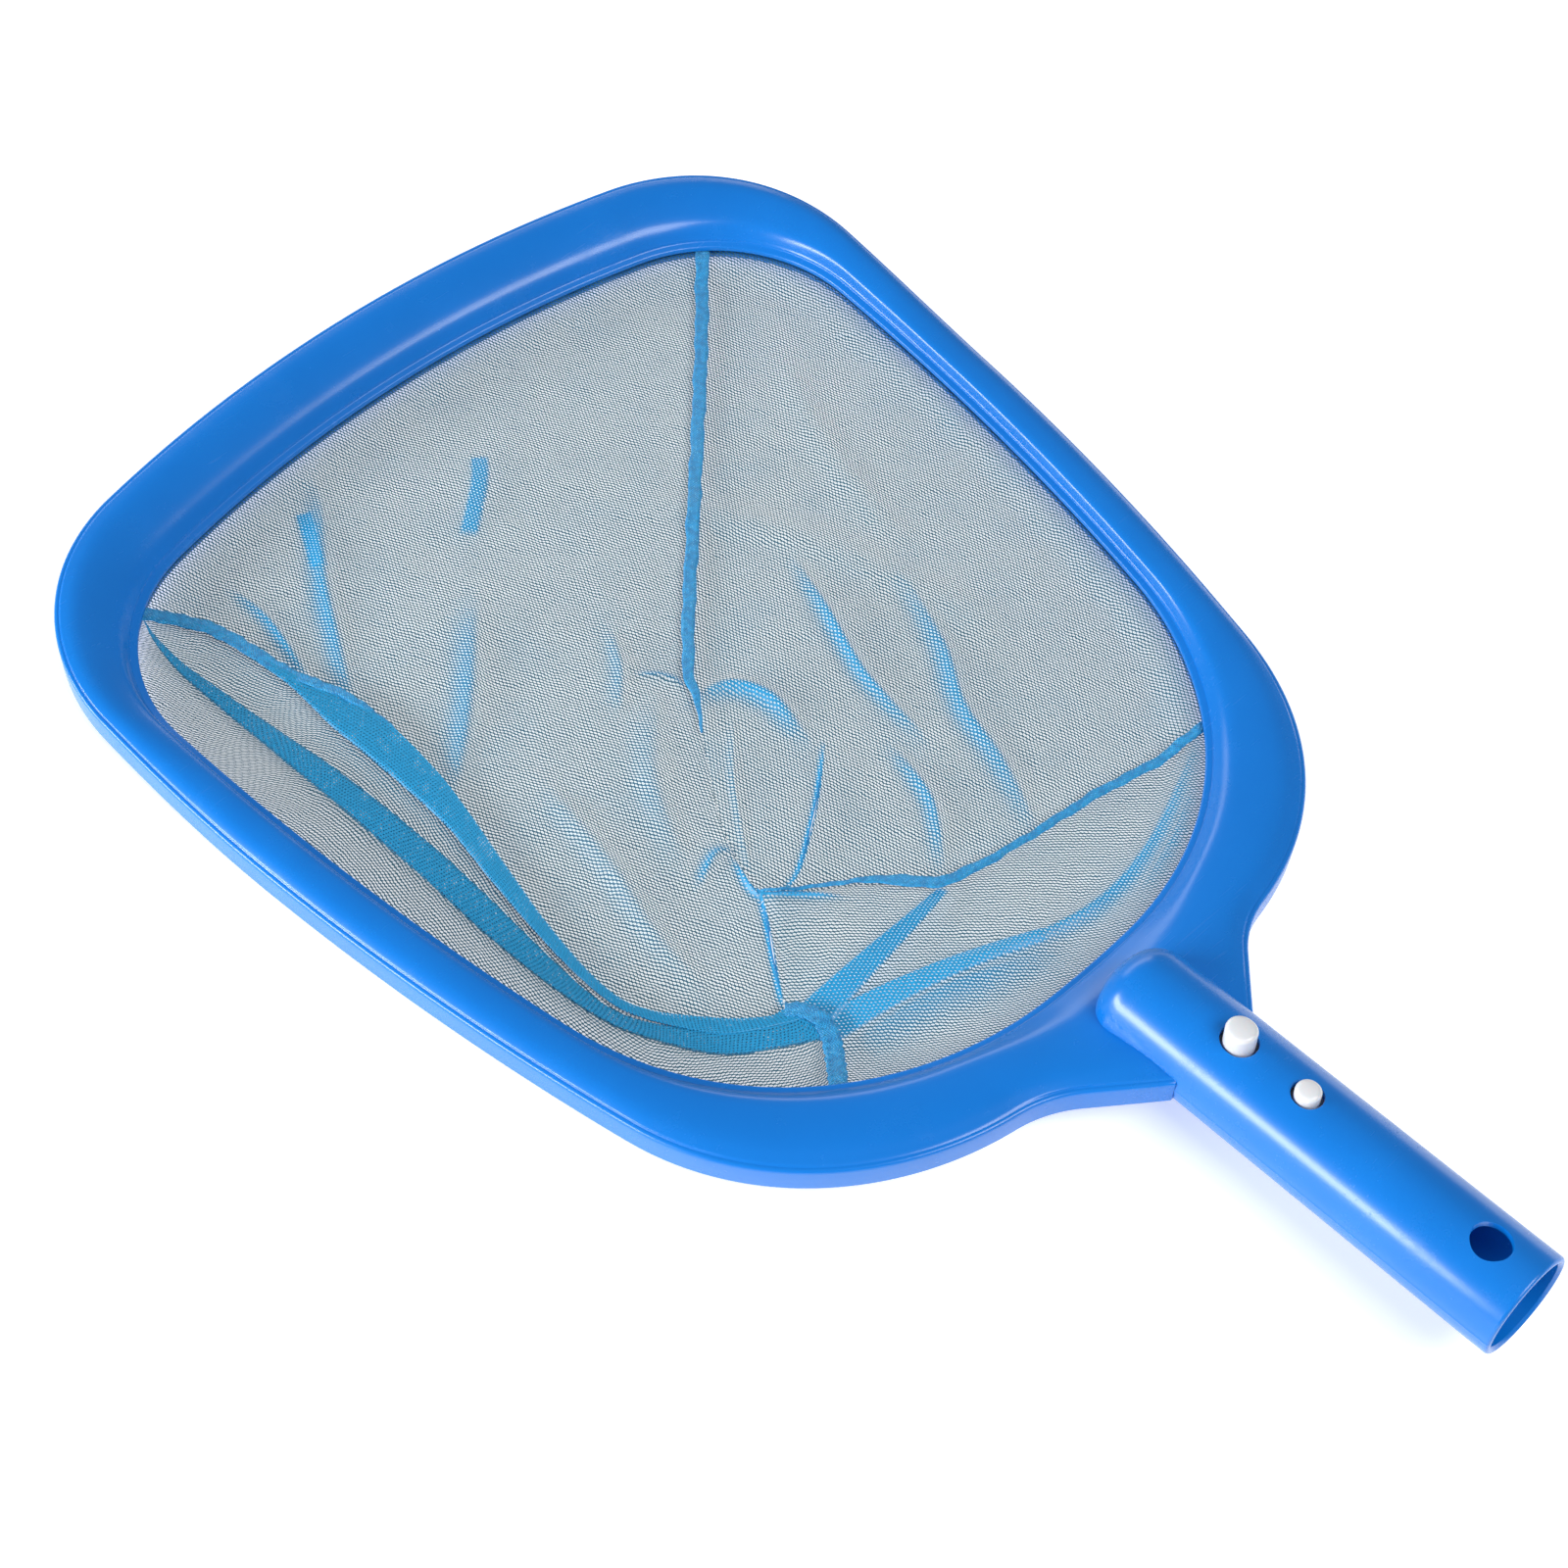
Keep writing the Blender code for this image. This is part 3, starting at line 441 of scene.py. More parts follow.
@dataclass(frozen=True)
class NetCloth:
    """See-through knitted net; a mesh attribute marks where it lies in layers, and the same mark switches the
    yarn between painted shade and painted light colours.
    """

    name: str
    # Lit and shaded copies of one yarn colour: painted shade on single cloth, painted light on folds, painted
    # shade in deep folds.
    yarn_single_painted_shade: tuple[float, float, float]
    yarn_doubled_painted_light: tuple[float, float, float]
    yarn_deep_painted_shade: tuple[float, float, float]
    cell_width: float = 1.00
    row_step: float = 1.95
    yarn: float = 0.15
    yarn_extra: float = 0.40

    def build(self) -> bpy.types.Material:
        """Make the material; its UV map is the flat cloth in millimetres."""
        mat, g, shader, where = start_material(self.name)
        layers = g.add("ShaderNodeAttribute", attribute_name="layering_and_painted_light").outputs["Fac"]
        folded = g.math("MINIMUM", layers, 1.0)
        deep = g.math("SUBTRACT", layers, 1.0, clamp=True)
        knit = g.add("ShaderNodeGroup", node_tree=Effects.knit)
        g.tree.links.new(where.outputs["UV"], knit.inputs["Vector"])
        knit.inputs["Cell Width"].default_value = self.cell_width
        knit.inputs["Row Step"].default_value = self.row_step
        thick = g.math("ADD", g.math("MULTIPLY", folded, self.yarn_extra), g.math("MULTIPLY", deep, 0.5))
        g.tree.links.new(g.math("ADD", self.yarn, thick), knit.inputs["Yarn"])
        # Painted light: single-layer yarn is shaded grey for its contact shadow on the floor, folded yarn is
        # lit bright cyan, deep folds are shaded dark.
        yarn = g.mix(folded, (*self.yarn_single_painted_shade, 1.0), (*self.yarn_doubled_painted_light, 1.0))
        yarn = g.mix(deep, yarn, (*self.yarn_deep_painted_shade, 1.0))
        dark = g.mix(0.25, yarn, (0.01, 0.05, 0.09, 1.0))
        tone = g.mix(g.ramp(knit.outputs["Uneven"], 0.35, 0.65), dark, yarn)
        g.tree.links.new(tone, shader.inputs["Base Color"])
        g.tree.links.new(knit.outputs["Cover"], shader.inputs["Alpha"])
        bump = g.add("ShaderNodeBump", {"Height": knit.outputs["Height"], "Strength": 0.6,
                                        "Distance": 0.0001})
        g.tree.links.new(bump.outputs[0], shader.inputs["Normal"])
        shader.inputs["Roughness"].default_value = 0.42
        shader.inputs["Specular IOR Level"].default_value = 0.45
        return mat


@dataclass(frozen=True)
class BindingTape:
    """Woven binding tape with painted glints on its filaments and painted shade between its ribs."""

    name: str
    colour: tuple[float, float, float]
    shade: tuple[float, float, float]
    painted_glint: tuple[float, float, float]
    pitch: float = 0.9

    def build(self) -> bpy.types.Material:
        """Make the material; its UV map is along and across the tape in millimetres."""
        mat, g, shader, where = start_material(self.name)
        weave = g.add("ShaderNodeGroup", node_tree=Effects.binding)
        g.tree.links.new(where.outputs["UV"], weave.inputs["Vector"])
        weave.inputs["Pitch"].default_value = self.pitch
        tone = g.mix(g.ramp(weave.outputs["Uneven"], 0.35, 0.68), (*self.colour, 1.0), (*self.shade, 1.0))
        # Painted shade: the colour darkens where the weave is low, between the ribs.
        tone = g.mix(g.ramp(weave.outputs["Height"], -0.2, 0.9, 0.28, 0.0), tone,
                     (*[c * 0.35 for c in self.shade], 1.0))
        # Painted highlight: the glint spots lift the colour towards pale cyan.
        tone = g.mix(g.math("MULTIPLY", weave.outputs["Painted Glint"], 0.75), tone, (*self.painted_glint, 1.0))
        g.tree.links.new(tone, shader.inputs["Base Color"])
        bump = g.add("ShaderNodeBump", {"Height": weave.outputs["Height"], "Strength": 0.8,
                                        "Distance": 0.00015})
        g.tree.links.new(bump.outputs[0], shader.inputs["Normal"])
        shader.inputs["Roughness"].default_value = 0.55
        shader.inputs["Sheen Weight"].default_value = 0.2
        return mat


@dataclass
class Finishes:
    """Every material of the skimmer net."""

    shell: bpy.types.Material = None
    shell_low: bpy.types.Material = None
    net: bpy.types.Material = None
    tape: bpy.types.Material = None
    hem: bpy.types.Material = None
    stitch: bpy.types.Material = None
    nylon: bpy.types.Material = None

    def build(self) -> "Finishes":
        """Make the shared groups and the materials."""
        Effects.build()
        self.shell = MouldedPlastic("shell_blue_gloss", (0.002, 0.165, 0.590), (0.003, 0.178, 0.630),
                                    0.25, 0.6, 0.6, specular=0.55, scatter=0.04).build()
        self.shell_low = MouldedPlastic("shell_blue_under", (0.003, 0.150, 0.590), (0.004, 0.165, 0.630),
                                        0.28, 0.7, 0.8, specular=0.55, scatter=0.04).build()
        self.net = NetCloth("net_knit_blue", (0.040, 0.135, 0.195), (0.014, 0.340, 0.680),
                            (0.004, 0.110, 0.330)).build()
        self.tape = BindingTape("tape_binding_blue", (0.010, 0.370, 0.780), (0.007, 0.240, 0.570),
                                (0.18, 0.68, 0.95)).build()
        self.hem = BindingTape("hem_binding_blue", (0.015, 0.260, 0.480), (0.010, 0.190, 0.400),
                               (0.16, 0.55, 0.78), pitch=0.7).build()
        self.stitch = MouldedPlastic("stitch_filament", (0.010, 0.230, 0.440), (0.030, 0.330, 0.560),
                                     0.32, 0.0, 0.2).build()
        self.nylon = MouldedPlastic("clip_white_nylon", (0.72, 0.73, 0.75), (0.67, 0.68, 0.71),
                                    0.20, 0.5, 0.5, specular=0.5, scatter=0.25).build()
        return self


# ---------------------------------------------------------------- rim
@dataclass
class ArcChain:
    """Half outline of tangent arcs from the front middle: (radius mm, sweep degrees, points)."""

    front_y: float
    arcs: tuple
    flat: float = 0.0

    def run(self) -> list[np.ndarray]:
        """Points of each arc as (x, y, heading) rows; a negative sweep turns the other way."""
        x, y, h = 0.0, self.front_y, 0.0
        runs = []
        for radius, sweep, count in self.arcs:
            side = 1.0 if sweep > 0 else -1.0
            turn = h + math.radians(sweep) * np.arange(1, count + 1) / count
            xs = x - side * radius * math.sin(h) + side * radius * np.sin(turn)
            ys = y - side * radius * math.cos(h) + side * radius * np.cos(turn)
            runs.append(np.stack([xs, ys, turn], axis=1))
            x, y, h = runs[-1][-1]
        if self.flat:
            step = self.flat * np.arange(1, 25) / 24
            runs.append(np.stack([x + step * math.cos(h), y - step * math.sin(h), np.full(24, h)], axis=1))
        return runs


def fillet(centre: tuple[float, float], radius: float, start: float, end: float, count: int) -> list:
    """Quarter-round points (first, second) of a section corner, angles in degrees."""
    angles = np.radians(np.linspace(start, end, count + 1))
    return [(centre[0] + radius * math.cos(a), centre[1] + radius * math.sin(a)) for a in angles]


@dataclass
class Rim:
    """The moulded rim: lipped and arched upper shell, flat lower shell, clamped hem."""

    finishes: Finishes
    front_stations: int = 16
    corner_stations: int = 44
    side_stations: int = 40
    shoulder_stations: int = 76
    rear_stations: int = 8
    skin: float = 2.0
    crest: float = 4.5
    edge: float = 1.0
    arch_power: float = 2.6
    skirt: float = 7.0
    brim_radius: float = 1.3
    flange_width: float = 3.0
    flange_depth: float = 1.6
    gap: float = 0.4
    hem_inset: float = 1.2
    hem_width: float = 3.8
    hem_thickness: float = 1.2
    rear_lift_start: float = -40.0
    rear_lift_rate: float = 0.0016
    front_raise: float = 8.0
    raise_span: tuple[float, float] = (70.0, 185.0)
    opening_front: float = 179.7
    opening_arcs: tuple = ((367.5, 13.6), (48.5, 78.9), (832.0, 9.45), (98.5, 75.3))
    outer_front: float = 202.9
    outer_arcs: tuple = ((390.6, 13.75), (59.8, 77.3), (802.7, 13.1))
    outer_neck_arcs: tuple = ((86.7, 65.5, 90), (32.4, -31.8, 45))
    neck_flat: float = 20.6
    opening: np.ndarray = field(init=False)
    outer: np.ndarray = field(init=False)
    shift_y: float = field(init=False)

    def __post_init__(self) -> None:
        """Work out the matched outlines of the opening and of the outer edge."""
        n = (self.front_stations, self.corner_stations, self.side_stations, self.shoulder_stations)
        inner = ArcChain(self.opening_front, tuple((*arc, k) for arc, k in zip(self.opening_arcs, n))).run()
        x, _, h = inner[-1][-1]
        close = ArcChain(0.0, ((x / math.sin(h), math.degrees(math.pi - h), self.rear_stations),))
        turn = h + (math.pi - h) * np.arange(1, self.rear_stations + 1) / self.rear_stations
        radius = close.arcs[0][0]
        y = inner[-1][-1][1]
        closing = np.stack([radius * np.sin(turn), y - radius * math.cos(h) + radius * np.cos(turn), turn],
                           axis=1)
        half_in = np.vstack([[[0.0, self.opening_front, 0.0]], *inner, closing])
        sides = tuple((*arc, k) for arc, k in zip(self.outer_arcs, n))
        outside = ArcChain(self.outer_front, sides + self.outer_neck_arcs, flat=self.neck_flat).run()
        fine = np.vstack([outside[2][-1:], *outside[3:]])
        run = np.concatenate([[0.0], np.cumsum(np.hypot(*np.diff(fine[:, :2], axis=0).T))])
        at = run[-1] * np.arange(1, n[3] + 1) / n[3]
        neck = np.stack([np.interp(at, run, fine[:, c]) for c in range(3)], axis=1)
        t = np.arange(1, self.rear_stations + 1) / self.rear_stations
        x, y, h = neck[-1]
        rear = np.stack([x * (1 - t), np.full(len(t), y), h + (math.pi - h) * t], axis=1)
        half_out = np.vstack([[[0.0, self.outer_front, 0.0]], *outside[:3], neck, rear])
        self.opening = self.mirror(half_in)
        self.outer = self.mirror(half_out)
        self.shift_y = CAD_BOX[1].y / MM - self.outer_front

    @staticmethod
    def mirror(half: np.ndarray) -> np.ndarray:
        """Close a right half outline into the full loop."""
        back = half[1:-1][::-1] * np.array([-1.0, 1.0, -1.0]) + np.array([0.0, 0.0, TAU])
        return np.vstack([half, back])

    def rear_lift(self, y: np.ndarray) -> np.ndarray:
        """How far the frame sweeps up towards the handle, at y before the shift."""
        return self.rear_lift_rate * np.maximum(0.0, self.rear_lift_start - y) ** 2

    def point(self, inset: float, outset: float, share: float, height: float) -> np.ndarray:
        """One ring round the rim.

        Args:
            inset: mm out from the opening.
            outset: mm in from the outer edge.
            share: blend from the opening (0) to the outer edge (1).
            height: mm above the lip.

        Returns:
            One point for each station.
        """
        ix, iy, ih = self.opening.T
        ox, oy, oh = self.outer.T
        ax, ay = ix + inset * np.sin(ih), iy + inset * np.cos(ih)
        bx, by = ox - outset * np.sin(oh), oy - outset * np.cos(oh)
        x, y = ax + (bx - ax) * share, ay + (by - ay) * share
        across = np.hypot(x - ix, y - iy) / np.hypot(ox - ix, oy - iy)
        start, end = self.raise_span
        z = height + self.rear_lift(y) + self.front_raise * ease((oy - start) / (end - start)) * across
        return np.stack([x, y + self.shift_y, z + self.skirt], axis=1)

    def loft(self, name: str, section: list, mat: bpy.types.Material) -> bpy.types.Object:
        """Loft a closed section, given as (inset, outset, share, height) rows, round the frame."""
        rings = np.stack([self.point(*row) for row in section], axis=1)
        stations, size = rings.shape[:2]
        return add_mesh(name, rings.reshape(-1, 3), grid_faces(stations, size, True, True), mat)

    def arch(self, share: float) -> float:
        """Height of the rounded top at a share of the rim's width."""
        return self.edge + (self.crest - self.edge) * (1 - abs(2 * share - 1) ** self.arch_power)

    def upper_section(self) -> list:
        """Lip, step, arched crown, rolled brim, skirt, underside and clamp flange."""
        rows = [(i, 0.0, 0.0, h) for i, h in fillet((0.45, -0.45), 0.45, 180, 90, 5)]
        rows += [(1.55, 0.0, 0.0, 0.06)]
        rows += [(i, 0.0, 0.0, h) for i, h in ((1.80, 0.10), (1.93, 0.17), (2.00, 0.30), (2.06, 0.62),
                                               (2.16, 0.84), (2.36, 1.02))]
        guide = [(2.36, 0.0, 0.0, 1.02)]
        guide += [(0.0, 0.0, s, self.arch(s)) for s in (0.22, 0.36, 0.5, 0.64, 0.78, 0.9)]
        r = self.brim_radius
        guide += [(0.0, r * 1.25, 1.0, self.edge + 1.05)]
        rows += [tuple(p) for p in spline(guide, 34)[1:]]
        top = self.edge + 0.75
        rows += [(0.0, o, 1.0, h) for o, h in fillet((r, top - r), r, 90, 180, 7)]
        rows += [(0.0, 0.0, 1.0, -self.skirt * 0.5), (0.0, 0.0, 1.0, -self.skirt + 0.5)]
        rows += [(0.0, o, 1.0, h) for o, h in fillet((0.4, -self.skirt + 0.4), 0.4, 180, 270, 3)]
        rows += [(0.0, self.skin - 0.3, 1.0, -self.skirt), (0.0, self.skin, 1.0, -self.skirt + 0.3)]
        rows += [(0.0, self.skin, 1.0, -self.skirt * 0.4), (0.0, self.skin, 1.0, self.edge - self.skin + 0.6)]
        rows += [(0.0, 0.0, s, self.arch(s) - self.skin) for s in (0.78, 0.71, 0.64, 0.57, 0.5, 0.43, 0.36)]
        rows += [(self.flange_width, 0.0, 0.0, -0.4), (self.flange_width, 0.0, 0.0, -self.flange_depth)]
        rows += [(0.3, 0.0, 0.0, -self.flange_depth), (0.0, 0.0, 0.0, -self.flange_depth + 0.3)]
        return rows

    def lower_section(self) -> list:
        """Clamp face under the hem, plate with a stiffening bead, upstand beside the skirt."""
        hem_under = -self.flange_depth - 2 * self.gap - self.hem_thickness
        outer = self.skin + 0.35
        wall = outer + 2.4
        out = self.hem_inset + self.hem_width + 0.3
        plate = -self.skirt + 1.8
        rows = [(0.8, 0.0, 0.0, hem_under - 0.2), (1.0, 0.0, 0.0, hem_under), (out, 0.0, 0.0, hem_under),
                (out + 0.5, 0.0, 0.0, plate), (0.0, wall, 1.0, plate), (0.0, wall, 1.0, hem_under + 0.6),
                (0.0, outer, 1.0, hem_under + 0.6), (0.0, outer, 1.0, -self.skirt + 0.3),
                (0.0, outer + 0.3, 1.0, -self.skirt)]
        rows += [(0.0, outer + 2.6, 1.0, -self.skirt), (0.0, outer + 2.9, 1.0, -self.skirt + 0.5),
                 (0.0, outer + 3.7, 1.0, -self.skirt + 0.5), (0.0, outer + 4.0, 1.0, -self.skirt)]
        rows += [(out + 0.3, 0.0, 0.0, -self.skirt), (out - 0.2, 0.0, 0.0, -self.skirt + 0.15),
                 (1.0, 0.0, 0.0, hem_under - 1.5), (0.8, 0.0, 0.0, hem_under - 1.3)]
        return rows

    def hem_section(self) -> list:
        """Folded cloth edge with a rounded bead on the opening side."""
        top = -self.flange_depth - self.gap
        mid = top - self.hem_thickness / 2
        far = self.hem_inset + self.hem_width
        rows = [(i, 0.0, 0.0, h) for i, h in fillet((self.hem_inset + 0.6, mid), 0.6, 270, 90, 6)]
        rows += [(far - 0.3, 0.0, 0.0, top), (far, 0.0, 0.0, top - 0.3),
                 (far, 0.0, 0.0, top - self.hem_thickness + 0.3),
                 (far - 0.3, 0.0, 0.0, top - self.hem_thickness)]
        return rows


# ---------------------------------------------------------------- handle socket
@dataclass
class Socket:
    """Handle socket with its button windows, pin hole and the stud that holds the spring."""

    finishes: Finishes
    radius: float = 14.25
    wall: float = 2.0
    root_y: float = -100.0
    root_height: float = 10.1
    rise: float = 4.0
    start: float = 4.0
    length: float = 129.2
    nose: float = 9.0
    bore_start: float = 8.0
    sides: int = 120
    parting: float = 0.14
    release_at: float = 41.1
    lock_at: float = 62.1
    pin_at: float = 116.0
    stud_at: float = 54.0

    def matrix(self, rim: Rim) -> Matrix:
        """Socket frame in metres: local -Y runs towards the open end, local Z is up."""
        place = Matrix.Translation((0.0, (self.root_y + rim.shift_y) * MM,
                                    (self.root_height + rim.skirt) * MM))
        return place @ Matrix.Rotation(-math.radians(self.rise), 4, "X")

    def turned(self, name: str, profile: list, flash: float = 0.0) -> bpy.types.Object:
        """Solid turned about the socket axis from (radius, distance) points.

        Args:
            name: object name.
            profile: section points; the first and last lie on the axis.
            flash: height of the parting line raised on both flanks.

        Returns:
            The object in socket coordinates.
        """
        angles = np.linspace(0.0, TAU, self.sides, endpoint=False)
        fine = np.array([-0.030, -0.012, 0.012, 0.030])
        angles = np.sort(np.concatenate([angles, fine % TAU, math.pi + fine]))
        ridge = np.exp(-(np.minimum(np.abs(np.sin(angles)), 1.0) / 0.016) ** 2)
        verts = [(0.0, -profile[0][1], 0.0)]
        for radius, along in profile[1:-1]:
            r = radius + (flash if radius > self.radius - 0.5 else 0.0) * ridge
            verts += list(zip(r * np.cos(angles), np.full(len(angles), -along), r * np.sin(angles)))
        verts.append((0.0, -profile[-1][1], 0.0))
        n = len(angles)
        faces = [(0, 1 + (k + 1) % n, 1 + k) for k in range(n)]
        for row in range(len(profile) - 3):
            base = 1 + row * n
            faces += [(base + k, base + (k + 1) % n, base + n + (k + 1) % n, base + n + k) for k in range(n)]
        base = 1 + (len(profile) - 3) * n
        faces += [(base + k, base + (k + 1) % n, len(verts) - 1) for k in range(n)]
        return add_mesh(name, np.array(verts), faces, self.finishes.shell)

    def window(self, name: str, width: float, length: float, low: float, high: float, flare: float,
               top: float) -> bpy.types.Object:
        """Cutter for a round-ended hole, flared above the height top to soften its upper edge."""
        layers = [(low, 0.0), (top - 0.5, 0.0)]
        layers += [(top - 0.5 + 0.5 * k / 4 * 1.2, flare * (k / 4) ** 2) for k in range(1, 5)]
        layers += [(high, flare * 1.6)]
        rings = []
        count = 40
        for height, grow in layers:
            r = width / 2 + grow
            straight = max(0.0, (length - width) / 2)
            a = np.linspace(0.0, TAU, count, endpoint=False)
            shift = np.where(np.sin(a) >= 0, straight, -straight)
            rings.append(np.stack([r * np.cos(a), r * np.sin(a) + shift, np.full(count, height)], axis=1))
        verts = np.vstack(rings + [[[0.0, 0.0, layers[0][0]]], [[0.0, 0.0, layers[-1][0]]]])
        faces = grid_faces(len(layers), count, loop_cols=True)
        low_mid, high_mid = len(verts) - 2, len(verts) - 1
        last = (len(layers) - 1) * count
        faces += [(k, (k + 1) % count, low_mid) for k in range(count)]
        faces += [(last + k, last + (k + 1) % count, high_mid) for k in range(count)]
        return add_mesh(name, verts, faces, self.finishes.shell)

    def place(self, obj: bpy.types.Object, rim: Rim, along: float = 0.0) -> bpy.types.Object:
        """Move a body from socket coordinates, at a distance along the axis, into the frame's axes."""
        obj.data.transform(self.matrix(rim) @ Matrix.Translation((0.0, -along * MM, 0.0)))
        return obj

    def outside_profile(self, grow: float = 0.0, start: float | None = None) -> list:
        """Outer section of the socket, optionally grown for the clearance in the lower shell."""
        start = self.start if start is None else start
        r = self.radius + grow
        profile = [(0.0, start)]
        profile += fillet((r - self.nose, start + self.nose), self.nose, -90, 0, 14)
        profile += [(r, start + 30.0), (r, start + 60.0), (r, start + 90.0)]
        profile += fillet((r - 0.9, self.length - 0.9), 0.9, 0, 90, 5)
        profile += [(0.0, self.length)]
        return profile

    def cut_into(self, shell: bpy.types.Object, rim: Rim) -> None:
        """Join the socket to the upper shell and open its bore, windows, pin hole."""
        tube = self.place(self.turned("socket_tube", self.outside_profile(), self.parting), rim)
        combine(shell, tube, "UNION")
        inner = self.radius - self.wall
        bore = [(0.0, self.bore_start)]
        bore += fillet((inner - 6.0, self.bore_start + 6.0), 6.0, -90, 0, 8)
        bore += [(inner, self.length - 0.8), (inner + 0.35, self.length - 0.3)]
        bore += [(inner + 0.9, self.length + 0.1), (inner + 0.9, self.length + 3.0), (0.0, self.length + 3.0)]
        hollow = self.place(self.turned("socket_bore", bore), rim)
        stud = self.window("stud", 3.2, 3.2, -inner - 0.8, -8.6, -0.25, -9.0)
        combine(hollow, self.place(stud, rim, self.stud_at), "DIFFERENCE")
        combine(shell, hollow, "DIFFERENCE")
        for name, width, length, along in (("release_window", 8.9, 9.9, self.release_at),
                                           ("lock_window", 7.7, 8.3, self.lock_at),
                                           ("pin_hole", 10.1, 10.1, self.pin_at)):
            tool = self.window(name, width, length, 4.0, self.radius + 6.0, 0.45, self.radius)
            combine(shell, self.place(tool, rim, along), "DIFFERENCE")


@dataclass
class ClipButtons:
    """The two white buttons on the spring leaf."""

    finishes: Finishes
    socket: Socket

    def button(self, name: str, width: float, length: float, proud: float, along: float,
               rim: Rim) -> bpy.types.Object:
        """One button: flange under the wall, stem, softly rounded top that follows the tube.

        Args:
            name: object name, the CAD node it stands for.
            width: mm across the tube.
            length: mm along the tube.
            proud: mm that the top stands out.
            along: place on the socket axis, mm.
            rim: rim that carries the socket.

        Returns:
            The finished piece.
        """
        seat_height = self.socket.radius - self.socket.wall - 1.3
        top = self.socket.radius + proud
        edge = 1.15
        layers = [(9.4, 1.1), (seat_height - 0.2, 1.1), (seat_height, 0.9), (seat_height, 0.0),
                  (self.socket.radius - 1.0, 0.0), (top - edge, 0.0)]
        for k in range(1, 8):
            a = math.radians(90 * k / 7)
            layers.append((top - edge + edge * math.sin(a), -edge * (1 - math.cos(a))))
        layers += [(top + 0.03, -edge - 0.6), (top + 0.05, -width * 0.36), (top + 0.055, -width * 0.45)]
        count = 56
        a = np.linspace(0.0, TAU, count, endpoint=False)
        straight = (length - width) / 2
        rings = []
        for height, grow in layers:
            r = width / 2 + grow
            ring = np.stack([r * np.cos(a), r * np.sin(a) + np.where(np.sin(a) >= 0, straight, -straight),
                             np.full(count, height)], axis=1)
            if height > self.socket.radius - 0.5:
                ring[:, 2] -= ring[:, 0] ** 2 / (2 * self.socket.radius) * 0.85
            rings.append(ring)
        verts = np.vstack(rings + [[[0.0, 0.0, layers[0][0]]]])
        faces = grid_faces(len(layers), count, loop_cols=True)
        faces += [(k, (k + 1) % count, len(verts) - 1) for k in range(count)]
        last = (len(layers) - 1) * count
        half = count // 2
        faces += [(last + k, last + k + 1, last + count - 2 - k, last + count - 1 - k)
                  for k in range(half - 1)]
        obj = add_mesh(name + "_moulded", verts, faces, self.finishes.nylon)
        self.socket.place(obj, rim, along)
        return seat(obj, "clip", "clip_white", name)

    def build(self, rim: Rim) -> None:
        """Make both buttons and finish the spring leaves."""
        self.button("release_button", 7.8, 8.2, 5.3, self.socket.release_at, rim)
        self.button("lock_button", 6.6, 6.6, 2.2, self.socket.lock_at, rim)
        for node in ("clip_spring_base", "clip_spring_arm"):
            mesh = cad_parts[node].data
            mesh.materials.clear()
            mesh.materials.append(self.finishes.nylon)


# ---------------------------------------------------------------- net bag
class Lay(Enum):
    """How a crease stands in the cloth."""

    RIDGE = "ridge"
    PLEAT = "pleat"


@dataclass(frozen=True)
class Crease:
    """A fold line on the let-down bag, in plan millimetres."""

    points: tuple
    width: float
    height: float
    doubling_and_painted_light: float
    lay: Lay = Lay.RIDGE
    end_width: float = 0.0

    def apply(self, plan: np.ndarray, height: np.ndarray, layering_and_painted_light: np.ndarray) -> None:
        """Raise the cloth along the crease and mark where it doubles; the mark also sets the painted light of
        the yarn, lit on folds and shaded in deep folds.

        Args:
            plan: N by 2 plan points.
            height: N heights, changed in place.
            layering_and_painted_light: N layer marks from 0 to 2, changed in place.
        """
        line = spline(self.points, 32)
        gap, share = distance_along(plan, line)
        taper = np.sin(np.pi * np.clip(share, 0.02, 0.98)) ** 0.6
        width = self.width + ((self.end_width or self.width) - self.width) * share
        if self.lay is Lay.PLEAT:
            body = 1.0 - ease((np.abs(gap) / width - 0.85) / 0.3)
            mark = body * ease(share / 0.04) * ease((1.0 - share) / 0.12)
        else:
            body = np.exp(-(gap / width) ** 2)
            # The mark is crisp on one side of a ridge and soft on the other, so the painted light of the fold
            # is lopsided.
            side = np.where(gap > 0, 0.35, 1.5)
            mark = np.exp(-(gap / (width * side)) ** 2) * taper
        height += self.height * body * taper
        # This layer mark is also painted light: the net material turns it into lit and shaded yarn colours.
        np.maximum(layering_and_painted_light, mark * self.doubling_and_painted_light, out=layering_and_painted_light)
